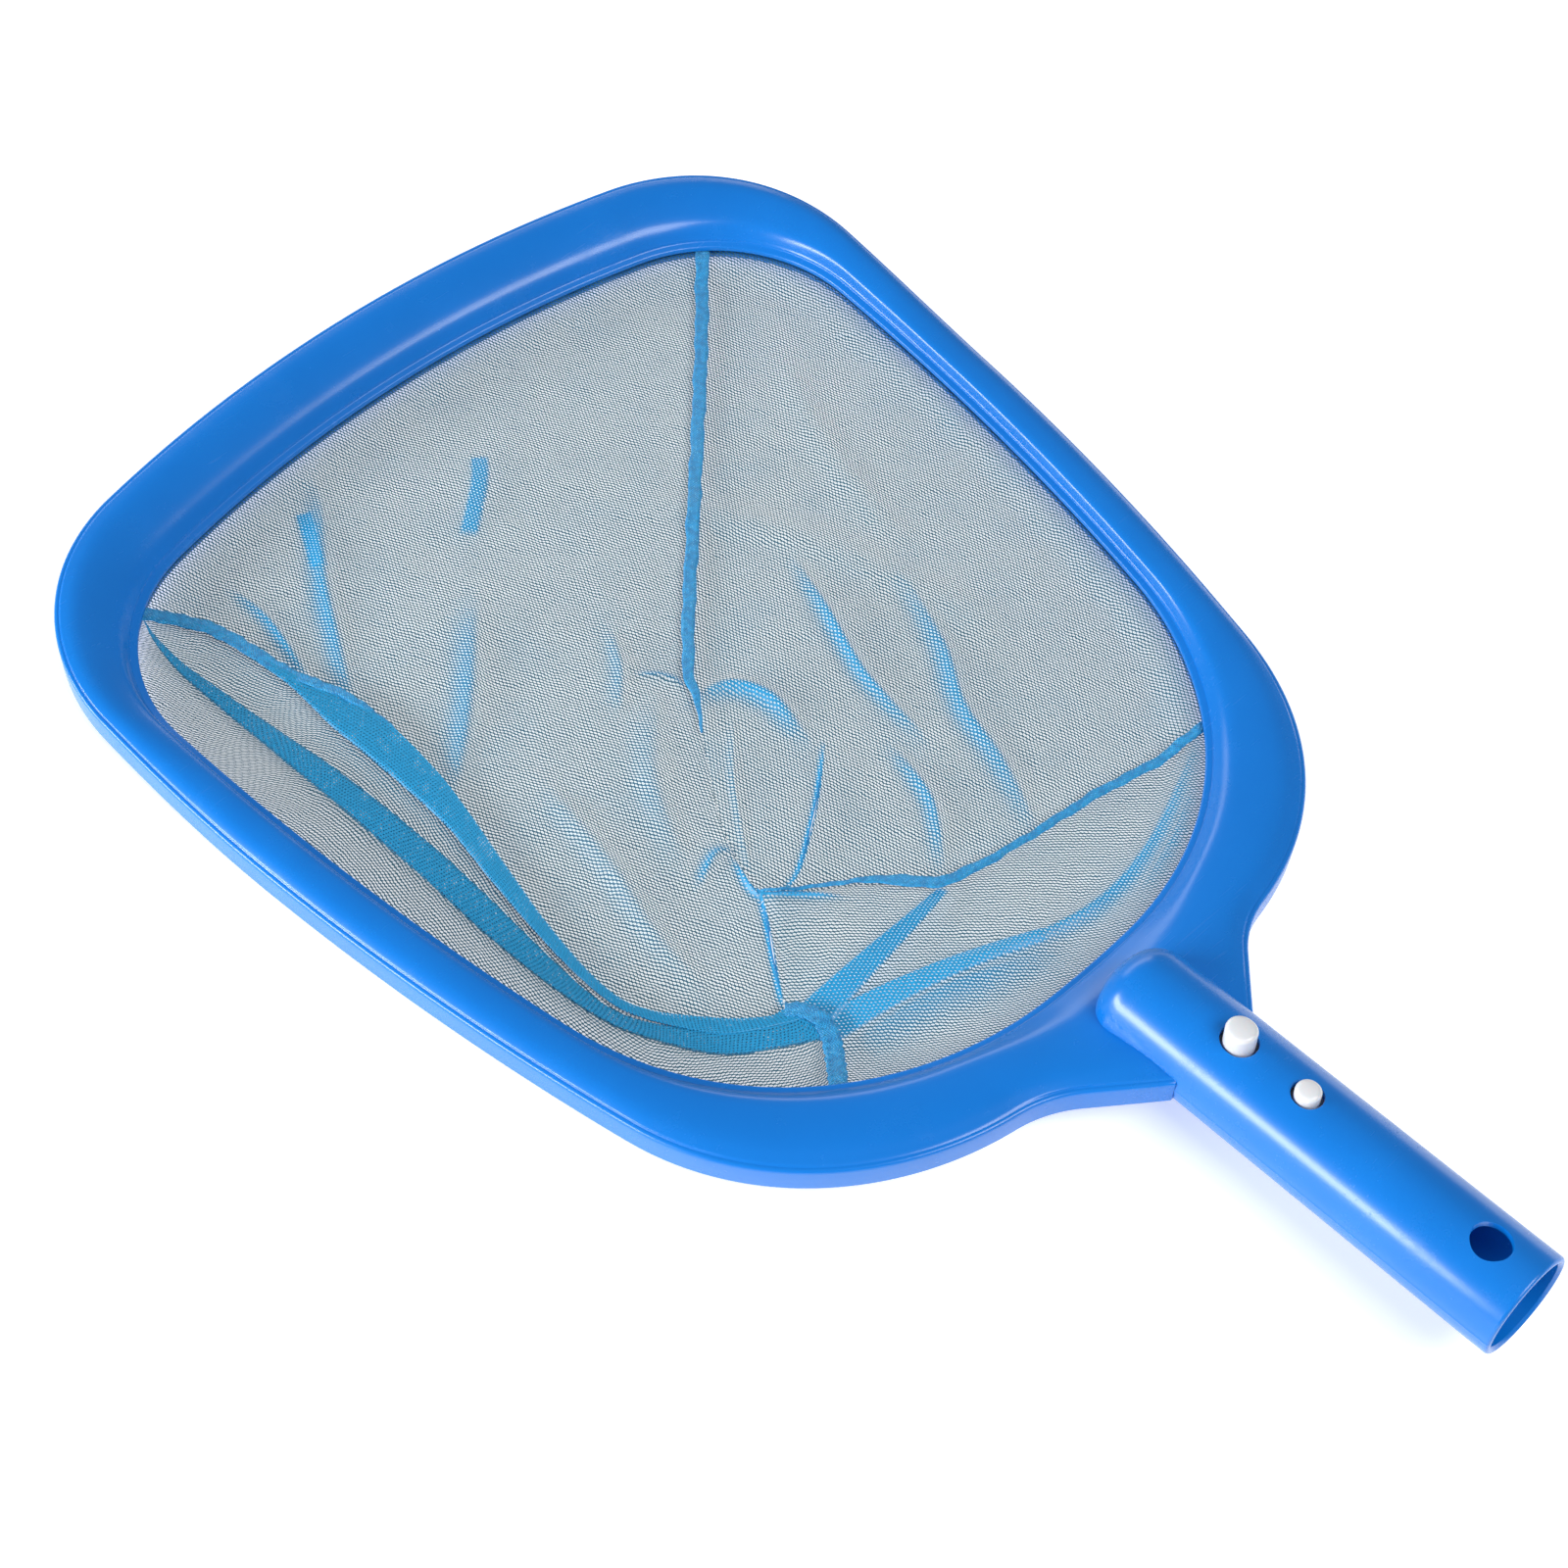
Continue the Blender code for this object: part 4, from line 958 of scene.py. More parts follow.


# Creases: plan points, width, height, layer mark (also painted lit or shaded yarn colour, even on ridges with
# no second layer), lay, end width.
CREASES = (
    Crease(((42.5, 68.1), (31.1, 35.2), (28.3, 23.5), (26.2, 3.0)), 2.0, 2.2, 0.85),
    Crease(((60.0, 42.0), (52.0, 20.0), (41.2, 1.5), (36.0, -17.7), (27.8, -38.0)), 2.6, 2.0, 0.7),
    Crease(((17.0, 4.0), (13.3, -12.3), (7.7, -21.6), (1.0, -29.6)), 2.0, 1.8, 0.7),
    Crease(((4.0, 17.8), (-10.0, 6.0), (-22.0, -2.5), (-30.0, -7.1), (-37.8, -9.0)), 0.7, 1.2, 2.0),
    Crease(((-41.4, 180.2), (-49.0, 168.3), (-59.9, 153.3), (-69.6, 135.8), (-82.1, 113.0)), 2.6, 2.0, 0.8),
    Crease(((-49.0, 176.0), (-53.5, 167.0), (-59.5, 155.0)), 2.2, 0.6, 1.0, Lay.PLEAT),
    Crease(((-34.5, 118.1), (-53.7, 97.0), (-66.9, 84.2), (-80.5, 73.2)), 3.4, 2.4, 0.55),
    Crease(((-12.4, 86.0), (-19.8, 73.7), (-29.1, 64.0)), 2.2, 1.8, 0.35),
    Crease(((-80.9, 166.7), (-80.4, 150.7), (-85.5, 124.9)), 1.4, 1.5, 0.9),
    Crease(((1.4, 158.5), (-5.4, 150.5), (-20.3, 138.0)), 2.4, 0.8, 0.85, Lay.PLEAT),
    Crease(((-10.4, 53.2), (-0.9, 49.8), (4.0, 39.1), (2.5, 24.1)), 2.6, 2.6, 0.9),
    Crease(((-37.4, 9.7), (-41.3, 11.9), (-50.4, 8.2)), 1.4, 2.0, 0.9),
    Crease(((-38.9, 7.5), (-41.7, -3.8), (-36.3, -10.3), (-27.0, -19.6)), 1.0, 1.6, 1.5),
    Crease(((-41.0, -4.0), (-46.0, -12.6), (-54.0, -24.2), (-60.6, -34.0)), 0.7, 1.2, 2.0),
    Crease(((-10.1, 57.7), (-11.8, 63.7), (-17.3, 69.7)), 1.0, 1.4, 0.8),
    Crease(((-4.0, -36.0), (-20.0, -38.0), (-40.0, -39.5), (-61.0, -40.5)), 1.3, 1.0, 1.1, Lay.PLEAT, 4.6),
    Crease(((4.5, -65.0), (-18.6, -56.0), (-40.0, -49.5), (-60.0, -45.0)), 1.8, 0.8, 0.95, Lay.PLEAT, 4.2),
    Crease(((-30.6, -51.5), (2.5, -63.5), (22.8, -66.8), (46.1, -63.1), (80.9, -50.0)), 2.2, 1.4, 0.85),
    Crease(((-56.0, -53.0), (-30.0, -57.5), (4.0, -69.5)), 4.0, 0.8, 0.5),
    Crease(((30.7, -73.0), (50.5, -67.1), (68.9, -58.2)), 2.6, 1.4, 0.55),
    Crease(((-9.0, 40.0), (-22.0, 26.0), (-32.0, 12.0), (-38.0, 3.0)), 1.0, 1.3, 0.18),
    Crease(((-60.0, 60.0), (-64.0, 30.0), (-70.0, 5.0), (-72.0, -15.0)), 3.4, 2.6, 0.15),
    Crease(((-20.0, 60.0), (-38.0, 40.0), (-50.0, 16.0)), 4.0, 2.2, 0.18),
    Crease(((95.0, 130.0), (78.0, 90.0), (70.0, 50.0)), 5.0, 2.0, 0.0),
    Crease(((20.0, 120.0), (44.0, 88.0), (60.0, 50.0), (70.0, 10.0)), 6.0, 2.0, 0.0),
)


@dataclass
class NetBag:
    """Four-gore net bag let down onto the table inside the rim."""

    finishes: Finishes
    rim: Rim
    rim_inset: float = 1.6
    drop: float = 14.0
    floor: float = 0.45
    grid: int = 250
    row_angle: float = 62.7
    apex: tuple[float, float] = (-42.2, -5.5)
    top_seam: tuple = ((83.2, 152.2), (61.0, 129.5), (39.5, 107.9), (24.0, 92.3), (9.0, 77.3), (-0.7, 67.0),
                       (-7.0, 60.0), (-10.8, 52.9), (-25.2, 31.6), (-35.2, 15.1))
    right_seam: tuple = ((66.4, -47.0), (47.0, -43.2), (26.4, -40.8), (8.0, -38.0), (-5.0, -34.1),
                         (-14.2, -24.7), (-23.6, -17.4), (-33.0, -11.5))
    left_seam: tuple = ((-94.6, 158.9), (-88.1, 132.5), (-81.8, 117.0), (-78.9, 99.8), (-79.3, 80.7),
                        (-81.7, 63.7), (-85.1, 45.9), (-89.0, 23.5), (-90.6, 0.0), (-86.3, -12.6),
                        (-74.7, -26.2), (-66.0, -33.5), (-61.5, -34.6))
    inner_band_low: tuple = ((-96.0, 158.0), (-90.8, 131.9), (-90.5, 110.3), (-89.3, 93.8), (-88.5, 75.9),
                             (-88.5, 63.4), (-90.8, 45.0), (-93.0, 19.0), (-92.7, -2.0), (-88.4, -14.2),
                             (-76.7, -30.4), (-58.2, -41.0))
    outer_band_high: tuple = ((-107.6, 158.5), (-102.0, 119.3), (-98.2, 96.5), (-95.3, 64.5), (-94.7, 40.4),
                              (-94.9, 18.4), (-94.0, -2.7), (-88.9, -14.6), (-76.9, -28.6), (-57.9, -38.6))
    outer_band_low: tuple = ((-109.6, 156.6), (-106.7, 113.2), (-104.7, 88.3), (-102.8, 55.1), (-102.0, 31.8),
                             (-100.3, 10.5), (-96.9, -7.5), (-92.2, -17.6), (-81.0, -33.9), (-58.4, -48.0))
    bottom_seam: tuple = ((-59.9, -50.8), (-56.9, -43.8), (-58.5, -38.1))
    seam_tail: tuple = ((-58.6, -31.2), (-54.0, -24.2), (-50.0, -18.0), (-46.0, -11.6))
    corners: dict = field(init=False)
    outline: np.ndarray = field(init=False)

    def __post_init__(self) -> None:
        """Place the seam ends on the clamped edge of the cloth."""
        o = self.rim.opening
        x = o[:, 0] + self.rim_inset * np.sin(o[:, 2])
        y = o[:, 1] + self.rim_inset * np.cos(o[:, 2]) + self.rim.shift_y
        self.outline = np.stack([x, y], axis=1)
        wanted = {"left": (-106.3, 174.0), "top": (105.9, 175.9), "right": (84.3, -49.0),
                  "bottom": (-67.0, -59.5)}
        self.corners = {name: int(np.argmin(np.hypot(*(self.outline - np.array(p)).T)))
                        for name, p in wanted.items()}

    def edge(self, first: str, second: str, count: int) -> np.ndarray:
        """Cloth edge clockwise along the clamp between two seam ends."""
        a, b = self.corners[first], self.corners[second]
        if b <= a:
            b += len(self.outline)
        line = self.outline[np.arange(a, b + 1) % len(self.outline)]
        return even(line, count)

    def seam(self, start: str, route: tuple, count: int, apex: bool = True) -> np.ndarray:
        """A seam's plan line from the clamp along its route, on to the apex if asked."""
        points = [tuple(self.outline[self.corners[start]]), *route]
        if apex:
            points.append(self.apex)
        return spline(points, count)

    def height(self, plan: np.ndarray, lift: np.ndarray | float = 0.0) -> np.ndarray:
        """Height of the cloth: at the clamp by the rim, then down to the table, raised by lift inside."""
        loop = np.vstack([self.outline, self.outline[:1]])
        gap = np.full(len(plan), 1e9)
        for k in range(0, len(loop) - 1, 2):
            a, b = loop[k], loop[min(k + 2, len(loop) - 1)]
            d = b - a
            t = np.clip(((plan - a) @ d) / max(1e-9, d @ d), 0.0, 1.0)
            gap = np.minimum(gap, np.hypot(*(plan - a - t[:, None] * d).T))
        clamp = self.rim.skirt - self.rim.flange_depth - self.rim.gap - self.rim.hem_thickness / 2
        high = clamp + self.rim.rear_lift(plan[:, 1] - self.rim.shift_y)
        low = self.floor + lift
        fall = ease(gap / self.drop)
        return high + (low - high) * fall

    @staticmethod
    def rumple(plan: np.ndarray, size: float, seed: float) -> np.ndarray:
        """Soft uneven wrinkles from 0 to 1."""
        return np.array([noise.noise(Vector((x / size, y / size, seed))) for x, y in plan]) * 0.5 + 0.5

    def cloth(self, name: str, plan: np.ndarray, lift: float, knit_turn: float,
              nodes: tuple) -> bpy.types.Object:
        """One gore from its plan grid.

        Args:
            name: piece name.
            plan: rows by columns by 2 grid.
            lift: mm that the middle stands off the table.
            knit_turn: direction of the knit in degrees.
            nodes: CAD nodes it stands for.

        Returns:
            The finished piece.
        """
        rows, cols = plan.shape[:2]
        flat = plan.reshape(-1, 2)
        inner = np.tile(np.sin(np.pi * np.linspace(0.0, 1.0, cols)) ** 0.7, rows)
        z = self.height(flat, lift * inner)
        layering_and_painted_light = np.zeros(len(flat))
        edge_fade = ease(self.edge_distance(flat) / 9.0)
        raised = np.zeros(len(flat))
        for crease in CREASES:
            crease.apply(flat, raised, layering_and_painted_light)
        broad = self.rumple(flat, 34.0, 2.0 + len(name)) ** 2 * 2.4 * inner
        small = self.rumple(flat, 9.0, 5.0 + len(name)) * 0.5 * inner
        z = z + (raised + broad + small) * edge_fade
        # Random patches add a little of the painted lit yarn colour across the gore.
        layering_and_painted_light = np.clip(layering_and_painted_light * edge_fade + 0.10 * self.rumple(flat, 14.0, 9.0) ** 2, 0.0, 2.0)
        return self.finish_cloth(name, np.column_stack([flat, z]), rows, cols, layering_and_painted_light, flat, knit_turn,
                                 nodes)

    def edge_distance(self, plan: np.ndarray) -> np.ndarray:
        """Distance from plan points to the clamped outline."""
        loop = np.vstack([self.outline, self.outline[:1]])
        gap = np.full(len(plan), 1e9)
        for k in range(0, len(loop) - 1, 3):
            gap = np.minimum(gap, np.hypot(*(plan - loop[k]).T))
        return gap

    def finish_cloth(self, name: str, verts: np.ndarray, rows: int, cols: int, layering_and_painted_light: np.ndarray,
                     flat: np.ndarray, knit_turn: float, nodes: tuple) -> bpy.types.Object:
        faces = grid_faces(rows, cols)
        obj = add_mesh(name, verts, faces, self.finishes.net, outward=False)
        mesh = obj.data
        turn = math.radians(knit_turn)
        u = flat[:, 0] * math.cos(turn) + flat[:, 1] * math.sin(turn)
        v = -flat[:, 0] * math.sin(turn) + flat[:, 1] * math.cos(turn)
        layer = mesh.uv_layers.new(name="flat_cloth")
        index = np.zeros(len(mesh.loops), np.int32)
        mesh.loops.foreach_get("vertex_index", index)
        layer.data.foreach_set("uv", np.stack([u[index], v[index]], axis=1).astype(np.float32).ravel())
        attribute = mesh.attributes.new("layering_and_painted_light", "FLOAT", "POINT")
        attribute.data.foreach_set("value", layering_and_painted_light.astype(np.float32))
        seat(obj, "frame", "net_blue", *nodes)
        return obj

    def patch(self, first: np.ndarray, second: np.ndarray, edge: np.ndarray) -> np.ndarray:
        """Fill between two seams that run from the cloth edge to the apex."""
        rows, cols = len(first), len(edge)
        u = np.linspace(0.0, 1.0, rows)[:, None, None]
        v = np.linspace(0.0, 1.0, cols)[None, :, None]
        sides = (1 - v) * first[:, None, :] + v * second[:, None, :]
        base = (1 - v) * first[0][None, None, :] + v * second[0][None, None, :]
        fade = (1 - u) ** 1.5
        return sides + fade * (edge[None, :, :] - base)

    def left_gore(self) -> bpy.types.Object:
        """The gathered gore on the left: two flat pleats of cloth in layers, painted in the lit yarn colour,
        and a plain strip to the clamp.
        """
        rows = 230
        top = self.seam("left", self.left_seam, rows, apex=False)
        low = self.seam("left", self.inner_band_low, rows, apex=False)
        high2 = self.seam("left", self.outer_band_high, rows, apex=False)
        low2 = self.seam("left", self.outer_band_low, rows, apex=False)
        edge = self.edge("bottom", "left", rows)[::-1]
        # Rails: plan line, height, and layer mark, which also paints the pleats' yarn in the lit cyan colour.
        rails = [(top, 2.7, 0.85), (low, 2.5, 0.95), (low, 1.9, 0.95), (top, 1.6, 0.9), (top, 1.0, 0.2),
                 (low, 0.7, 0.1), (high2, 0.7, 0.05), (low2, 0.8, 0.1), (low2, 1.3, 0.9), (high2, 1.6, 0.9),
                 (high2, 2.3, 0.85), (low2, 2.6, 0.95), (low2 + (edge - low2) * 0.06, 2.3, 0.0),
                 (edge, 0.0, 0.0)]
        steps = (7, 1, 7, 1, 7, 6, 7, 1, 7, 1, 7, 1, 12)
        end_fade = ease(np.linspace(0.0, 1.0, rows) / 0.07)
        columns, marks, layers = [], [], []
        for (a, za, da), (b, zb, db), count in zip(rails, rails[1:], steps):
            for k in range(count):
                t = k / count
                columns.append(a + (b - a) * t)
                layers.append(np.full(rows, za + (zb - za) * t) * end_fade)
                marks.append(np.full(rows, da + (db - da) * ease(t)))
        columns.append(edge)
        layers.append(np.zeros(rows))
        marks.append(np.zeros(rows))
        plan = np.stack(columns, axis=1)
        cols = plan.shape[1]
        flat = plan.reshape(-1, 2)
        z = self.height(flat) + np.stack(layers, axis=1).reshape(-1)
        z += self.rumple(flat, 12.0, 4.4) * 0.8 * ease(self.edge_distance(flat) / 9.0)
        steps_across = np.hypot(*np.moveaxis(np.diff(plan, axis=1), 2, 0))
        across = np.concatenate([np.zeros((rows, 1)), np.cumsum(steps_across, axis=1)], axis=1)
        along = np.concatenate([[0.0], np.cumsum(np.hypot(*np.diff(edge, axis=0).T))])
        cut = np.stack([np.broadcast_to(along[:, None], (rows, cols)), across], axis=2).reshape(-1, 2)
        layering_and_painted_light = np.stack(marks, axis=1).reshape(-1)
        turn = math.radians(self.row_angle)
        cut = cut @ np.array([[math.cos(turn), -math.sin(turn)], [math.sin(turn), math.cos(turn)]])
        return self.finish_cloth("net_gore_left_cloth", np.column_stack([flat, z]), rows, cols, layering_and_painted_light, cut,
                                 0.0, ("net_gore_left",))

    def build(self) -> None:
        """Make the four gores."""
        n = self.grid
        top = self.seam("top", self.top_seam, n)
        right = self.seam("right", self.right_seam, n)
        left = self.seam("left", (*self.left_seam, *self.seam_tail), n)
        bottom = self.seam("bottom", (*self.bottom_seam, *self.seam_tail), n)
        self.cloth("net_gore_front_cloth", self.patch(left, top, self.edge("left", "top", n)), 0.0, 0.0,
                   ("net_gore_front",))
        self.cloth("net_gore_right_cloth", self.patch(top, right, self.edge("top", "right", n)), 0.4, -10.0,
                   ("net_gore_right",))
        self.cloth("net_gore_handle_cloth", self.patch(right, bottom, self.edge("right", "bottom", n)), 2.2,
                   20.0, ("net_gore_handle",))
        self.left_gore()


# ---------------------------------------------------------------- seam tapes
def build_stitch_tree() -> bpy.types.NodeTree:
    """Geometry Nodes tree that lays small filament stitches along a curve."""
    tree = bpy.data.node_groups.new("stitch_row", "GeometryNodeTree")
    face = tree.interface
    face.new_socket("Geometry", in_out="INPUT", socket_type="NodeSocketGeometry")
    for label, kind, default in (("Pitch", FLOAT, 0.0018), ("Stitch Length", FLOAT, 0.0015),
                                 ("Thickness", FLOAT, 0.00032), ("Slant", FLOAT, 0.5)):
        face.new_socket(label, in_out="INPUT", socket_type=kind).default_value = default
    face.new_socket("Material", in_out="INPUT", socket_type="NodeSocketMaterial")
    face.new_socket("Geometry", in_out="OUTPUT", socket_type="NodeSocketGeometry")
    g = Graph(tree)
    src = g.add("NodeGroupInput")
    points = g.add("GeometryNodeCurveToPoints", {"Curve": src.outputs["Geometry"],
                                                  "Length": src.outputs["Pitch"]}, mode="LENGTH")
    bead = g.add("GeometryNodeMeshUVSphere", {"Segments": 6, "Rings": 4, "Radius": 0.5})
    size = g.add("ShaderNodeCombineXYZ", {0: src.outputs["Thickness"], 1: src.outputs["Thickness"],
                                          2: src.outputs["Stitch Length"]})
    turn = g.add("ShaderNodeCombineXYZ", {0: src.outputs["Slant"]})
    spin = g.add("FunctionNodeEulerToRotation", {0: turn.outputs[0]})
    facing = g.add("FunctionNodeRotateRotation", {0: points.outputs["Rotation"], 1: spin.outputs[0]},
                   rotation_space="LOCAL")
    lay = g.add("GeometryNodeInstanceOnPoints", {"Points": points.outputs["Points"],
                                                 "Instance": bead.outputs["Mesh"],
                                                 "Rotation": facing.outputs[0], "Scale": size.outputs[0]})
    real = g.add("GeometryNodeRealizeInstances", {0: lay.outputs[0]})
    smooth = g.add("GeometryNodeSetShadeSmooth", {0: real.outputs[0]})
    dressed = g.add("GeometryNodeSetMaterial", {"Geometry": smooth.outputs[0],
                                                "Material": src.outputs["Material"]})
    out = g.add("NodeGroupOutput")
    tree.links.new(dressed.outputs[0], out.inputs[0])
    return tree


@dataclass
class SeamTapes:
    """Folded binding tapes over the seams, each with two rows of stitches."""

    finishes: Finishes
    bag: NetBag
    stitch_pitch: float = 1.9
    stitch_length: float = 1.7
    stitch_thickness: float = 0.34

    def stitch_row(self, name: str, line: np.ndarray, tree: bpy.types.NodeTree,
                   slant: float) -> bpy.types.Object:
        """One row of stitches along a line of points in mm, as a plain mesh."""
        curve = bpy.data.curves.new(name, "CURVE")
        curve.dimensions = "3D"
        path = curve.splines.new("POLY")
        path.points.add(len(line) - 1)
        path.points.foreach_set("co", np.column_stack([line * MM, np.ones(len(line))]).ravel())
        obj = bpy.data.objects.new(name, curve)
        bpy.context.scene.collection.objects.link(obj)
        mod = obj.modifiers.new("stitches", "NODES")
        mod.node_group = tree
        values = {"Pitch": self.stitch_pitch * MM, "Stitch Length": self.stitch_length * MM,
                  "Thickness": self.stitch_thickness * MM, "Slant": slant, "Material": self.finishes.stitch}
        for item in tree.interface.items_tree:
            if item.in_out == "INPUT" and item.name in values:
                mod[item.identifier] = values[item.name]
        graph = bpy.context.evaluated_depsgraph_get()
        mesh = bpy.data.meshes.new_from_object(obj.evaluated_get(graph))
        bpy.data.objects.remove(obj, do_unlink=True)
        plain = bpy.data.objects.new(name, mesh)
        bpy.context.scene.collection.objects.link(plain)
        return plain

    def cloth_height(self, plan: np.ndarray, lift: float) -> np.ndarray:
        """Height of the cloth under a tape, creases included."""
        raised = np.zeros(len(plan))
        for crease in CREASES:
            crease.apply(plan, raised, np.zeros(len(plan)))
        fade = ease(self.bag.edge_distance(plan) / 9.0)
        return self.bag.height(plan, lift) + raised * fade + 0.9 * fade

    def tape(self, node: str, line: np.ndarray, widths: list, lift: float,
             tree: bpy.types.NodeTree) -> bpy.types.Object:
        """One tape along a plan line.

        Args:
            node: CAD node it stands for.
            line: plan points from the clamp inwards.
            widths: (share of the length, width mm) pairs.
            lift: mm that the cloth under it stands off the table.
            tree: stitch tree.

        Returns:
            The finished tape.
        """
        count = len(line)
        share = np.linspace(0.0, 1.0, count)
        width = np.interp(share, [w[0] for w in widths], [w[1] for w in widths])
        tangent = np.gradient(line, axis=0)
        tangent /= np.linalg.norm(tangent, axis=1)[:, None]
        side = np.column_stack([-tangent[:, 1], tangent[:, 0]])
        z = self.cloth_height(line, lift)
        wobble = 0.16 * np.sin(share * 61.0) + 0.10 * np.sin(share * 143.0 + 1.0)
        width = width * (1.0 + 0.06 * np.sin(share * 97.0))
        section = [(math.cos(a), math.sin(a)) for a in np.linspace(0.0, TAU, 14, endpoint=False)]
        thick = 0.34
        verts, uv = [], []
        run = np.concatenate([[0.0], np.cumsum(np.hypot(*np.diff(line, axis=0).T))])
        for k in range(count):
            for c, s in section:
                across = math.copysign(abs(c) ** 0.55, c) * width[k] / 2
                up = math.copysign(abs(s) ** 0.8, s) * thick
                p = line[k] + side[k] * (across + wobble[k])
                verts.append((p[0], p[1], z[k] + 0.25 + up))
                uv.append((run[k], across))
        size = len(section)
        faces = grid_faces(count, size, loop_cols=True)
        faces += [tuple(range(size)), tuple(reversed(range((count - 1) * size, count * size)))]
        obj = add_mesh(node + "_bound", np.array(verts), faces, self.finishes.tape, outward=False)
        bm = bmesh.new()
        bm.from_mesh(obj.data)
        bmesh.ops.recalc_face_normals(bm, faces=bm.faces)
        bm.to_mesh(obj.data)
        bm.free()
        layer = obj.data.uv_layers.new(name="tape_run")
        index = np.zeros(len(obj.data.loops), np.int32)
        obj.data.loops.foreach_get("vertex_index", index)
        layer.data.foreach_set("uv", np.array(uv, np.float32)[index].ravel())
        seat(obj, "frame", "tape_blue", node)
        for number, offset in enumerate((-0.3, 0.3)):
            keep = width > 1.6
            rows = np.column_stack([line + side * (width * offset + wobble)[:, None], z + 0.25 + thick * 0.9])
            row = self.stitch_row(f"{node}_stitches_{number + 1}", rows[keep], tree, 0.5 - number)
            seat(row, "frame", "tape_blue")
        LOG.info("%s: tape %.0f mm long", node, run[-1])
        return obj

    def build(self) -> None:
        """Make the four tapes."""
        tree = build_stitch_tree()
        bag = self.bag
        top = bag.seam("top", bag.top_seam, 260)[:200]
        self.tape("seam_tape_front_right", top,
                  [(0.0, 4.2), (0.78, 3.8), (0.90, 3.2), (0.96, 1.4), (1.0, 0.6)],
                  0.4, tree)
        right = bag.seam("right", bag.right_seam, 200)
        self.tape("seam_tape_handle_right", right,
                  [(0.0, 3.0), (0.3, 2.8), (0.5, 2.2), (0.62, 3.2), (0.72, 3.8), (0.82, 1.4), (1.0, 0.8)],
                  1.3, tree)
        left = bag.seam("left", bag.left_seam, 240, apex=False)[:88]
        self.tape("seam_tape_front_left", left, [(0.0, 4.4), (0.45, 4.0), (0.8, 2.4), (1.0, 0.8)], 1.6, tree)
        bottom = bag.seam("bottom", (*bag.bottom_seam, (-61.5, -35.0)), 60, apex=False)
        self.tape("seam_tape_handle_left", bottom, [(0.0, 5.0), (0.6, 5.2), (1.0, 4.0)], 1.8, tree)


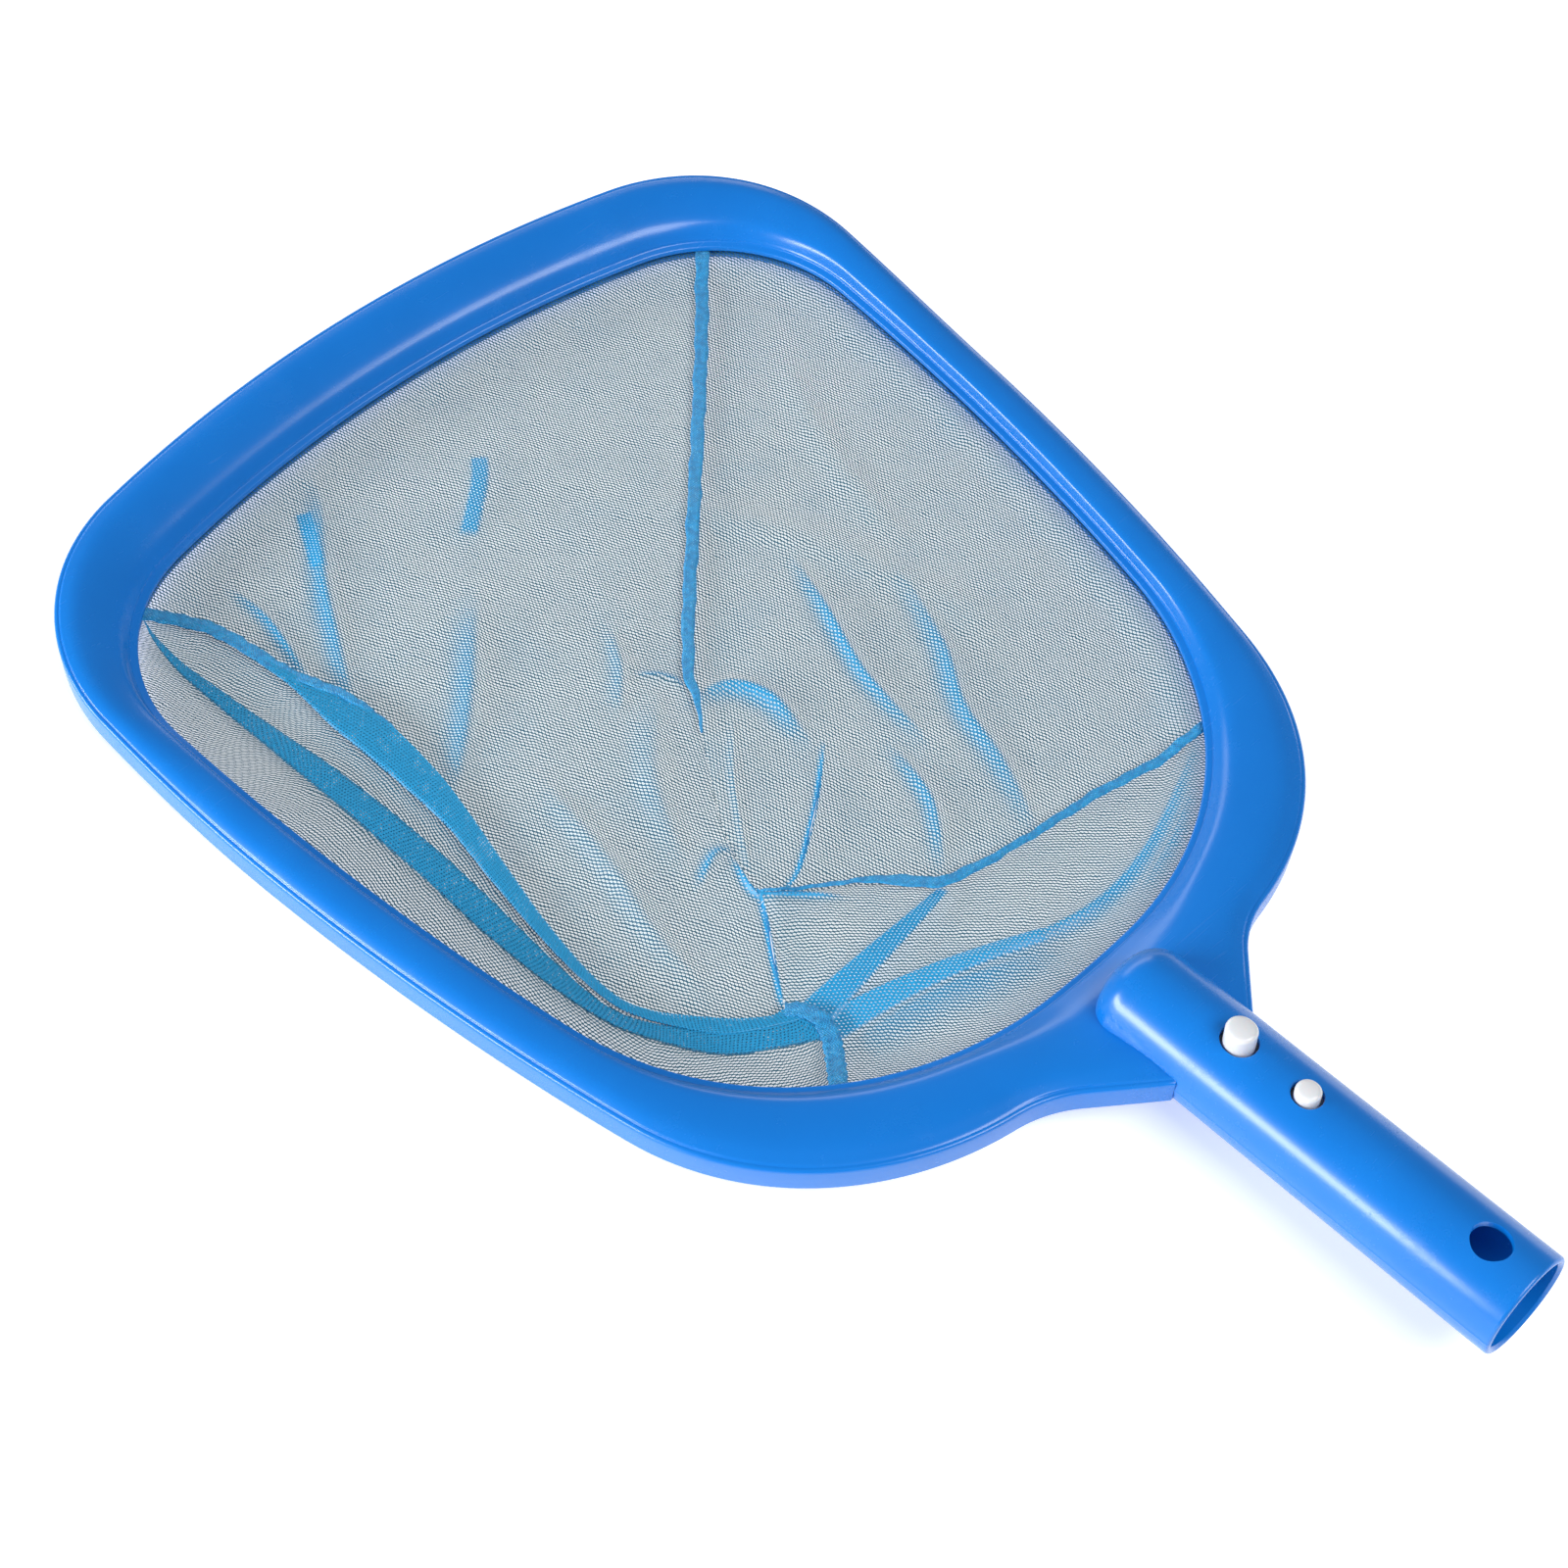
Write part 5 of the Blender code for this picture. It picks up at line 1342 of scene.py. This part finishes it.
# ---------------------------------------------------------------- stage
@dataclass
class Stage:
    """Pale floor, soft studio light and the camera."""

    azimuth: float = -47.04
    elevation: float = 55.16
    roll: float = 4.0
    distance: float = 727.06
    aim: tuple[float, float, float] = (-15.57, 13.455, 7.0)
    lens: float = 63.0
    floor_half: float = 6.0
    floor_drop: float = 0.0004

    def floor(self) -> None:
        """Plain pale floor under the skimmer."""
        mesh = bpy.data.meshes.new("studio_floor")
        side = self.floor_half
        mesh.from_pydata([(-side, -side, 0.0), (side, -side, 0.0), (side, side, 0.0), (-side, side, 0.0)], [],
                         [(0, 1, 2, 3)])
        obj = bpy.data.objects.new("studio_floor", mesh)
        obj.location.z = -self.floor_drop
        bpy.context.scene.collection.objects.link(obj)
        mat = bpy.data.materials.new("studio_floor")
        mat.use_nodes = True
        shader = next(n for n in mat.node_tree.nodes if n.type == "BSDF_PRINCIPLED")
        shader.inputs["Base Color"].default_value = (0.92, 0.92, 0.92, 1.0)
        shader.inputs["Roughness"].default_value = 0.9
        shader.inputs["Specular IOR Level"].default_value = 0.1
        shader.inputs["Emission Color"].default_value = (1.0, 1.0, 1.0, 1.0)
        shader.inputs["Emission Strength"].default_value = 0.40
        mesh.materials.append(mat)

    @staticmethod
    def area_light(name: str, place: tuple, aim: tuple, size: tuple, power: float) -> None:
        """One softbox that faces its aim."""
        light = bpy.data.lights.new(name, "AREA")
        light.shape = "RECTANGLE"
        light.size, light.size_y = size
        light.energy = power
        obj = bpy.data.objects.new(name, light)
        obj.location = place
        direction = Vector(aim) - Vector(place)
        obj.rotation_euler = direction.to_track_quat("-Z", "Y").to_euler()
        bpy.context.scene.collection.objects.link(obj)

    def lights(self) -> None:
        """Dim surround, a key softbox, a low strip on the left and a low softbox behind."""
        world = bpy.data.worlds.new("studio")
        world.use_nodes = True
        back = next(n for n in world.node_tree.nodes if n.type == "BACKGROUND")
        back.inputs[0].default_value = (0.95, 0.97, 1.0, 1.0)
        back.inputs[1].default_value = 0.20
        bpy.context.scene.world = world
        self.area_light("softbox_key", (0.30, -1.60, 2.30), (0.0, 0.05, 0.0), (1.8, 1.5), 59.0)
        self.area_light("strip_left", (-1.30, 0.57, 0.40), (0.0, 0.0, 0.0), (1.3, 0.36), 29.0)
        self.area_light("softbox_back", (0.60, 1.25, 0.40), (0.0, 0.0, 0.0), (1.3, 0.45), 4.0)

    def camera(self) -> None:
        """Camera on its azimuth and elevation, rolled a little."""
        a, e, r = (math.radians(v) for v in (self.azimuth, self.elevation, self.roll))
        back = Vector((math.sin(a) * math.cos(e), -math.cos(a) * math.cos(e), math.sin(e)))
        right = Vector((math.cos(a), math.sin(a), 0.0))
        up = back.cross(right)
        x_axis = right * math.cos(r) + up * math.sin(r)
        y_axis = up * math.cos(r) - right * math.sin(r)
        data = bpy.data.cameras.new("camera")
        data.lens = self.lens
        data.sensor_width = 36.0
        data.clip_start = 0.01
        obj = bpy.data.objects.new("camera", data)
        turn = Matrix((x_axis, y_axis, back)).transposed().to_4x4()
        obj.matrix_world = Matrix.Translation((Vector(self.aim) + back * self.distance) * MM) @ turn
        bpy.context.scene.collection.objects.link(obj)
        bpy.context.scene.camera = obj

    def build(self) -> None:
        """Make everything round the object."""
        self.floor()
        self.lights()
        self.camera()
        bpy.context.scene.view_settings.view_transform = "Standard"


def shade_edges(obj: bpy.types.Object, angle: float) -> None:
    """Smooth shading with sharp edges above an angle in degrees."""
    obj.data.shade_smooth()
    obj.data.set_sharp_from_angle(angle=math.radians(angle))


def main() -> None:
    """Build the skimmer net piece by piece."""
    logging.basicConfig(level=logging.INFO, format="%(message)s")
    Stage().build()
    finishes = Finishes().build()
    rim = Rim(finishes)
    socket = Socket(finishes)

    upper = rim.loft("frame_upper_shell_moulded", rim.upper_section(), finishes.shell)
    socket.cut_into(upper, rim)
    shade_edges(upper, 32.0)
    seat(upper, "frame", "shell_blue", "frame_upper_shell")
    LOG.info("upper shell: %d faces", len(upper.data.polygons))

    lower = rim.loft("frame_lower_shell_moulded", rim.lower_section(), finishes.shell_low)
    relief = socket.turned("socket_relief", socket.outside_profile(0.35, socket.start - 0.35))
    combine(lower, socket.place(relief, rim), "DIFFERENCE")
    shade_edges(lower, 30.0)
    seat(lower, "frame", "shell_blue_low", "frame_lower_shell")
    LOG.info("lower shell: %d faces", len(lower.data.polygons))

    hem = rim.loft("net_hem_folded", rim.hem_section(), finishes.hem)
    seat(hem, "frame", "hem_blue", "net_hem")

    bag = NetBag(finishes, rim)
    bag.build()
    SeamTapes(finishes, bag).build()
    ClipButtons(finishes, socket).build(rim)


if __name__ == "__main__":
    main()
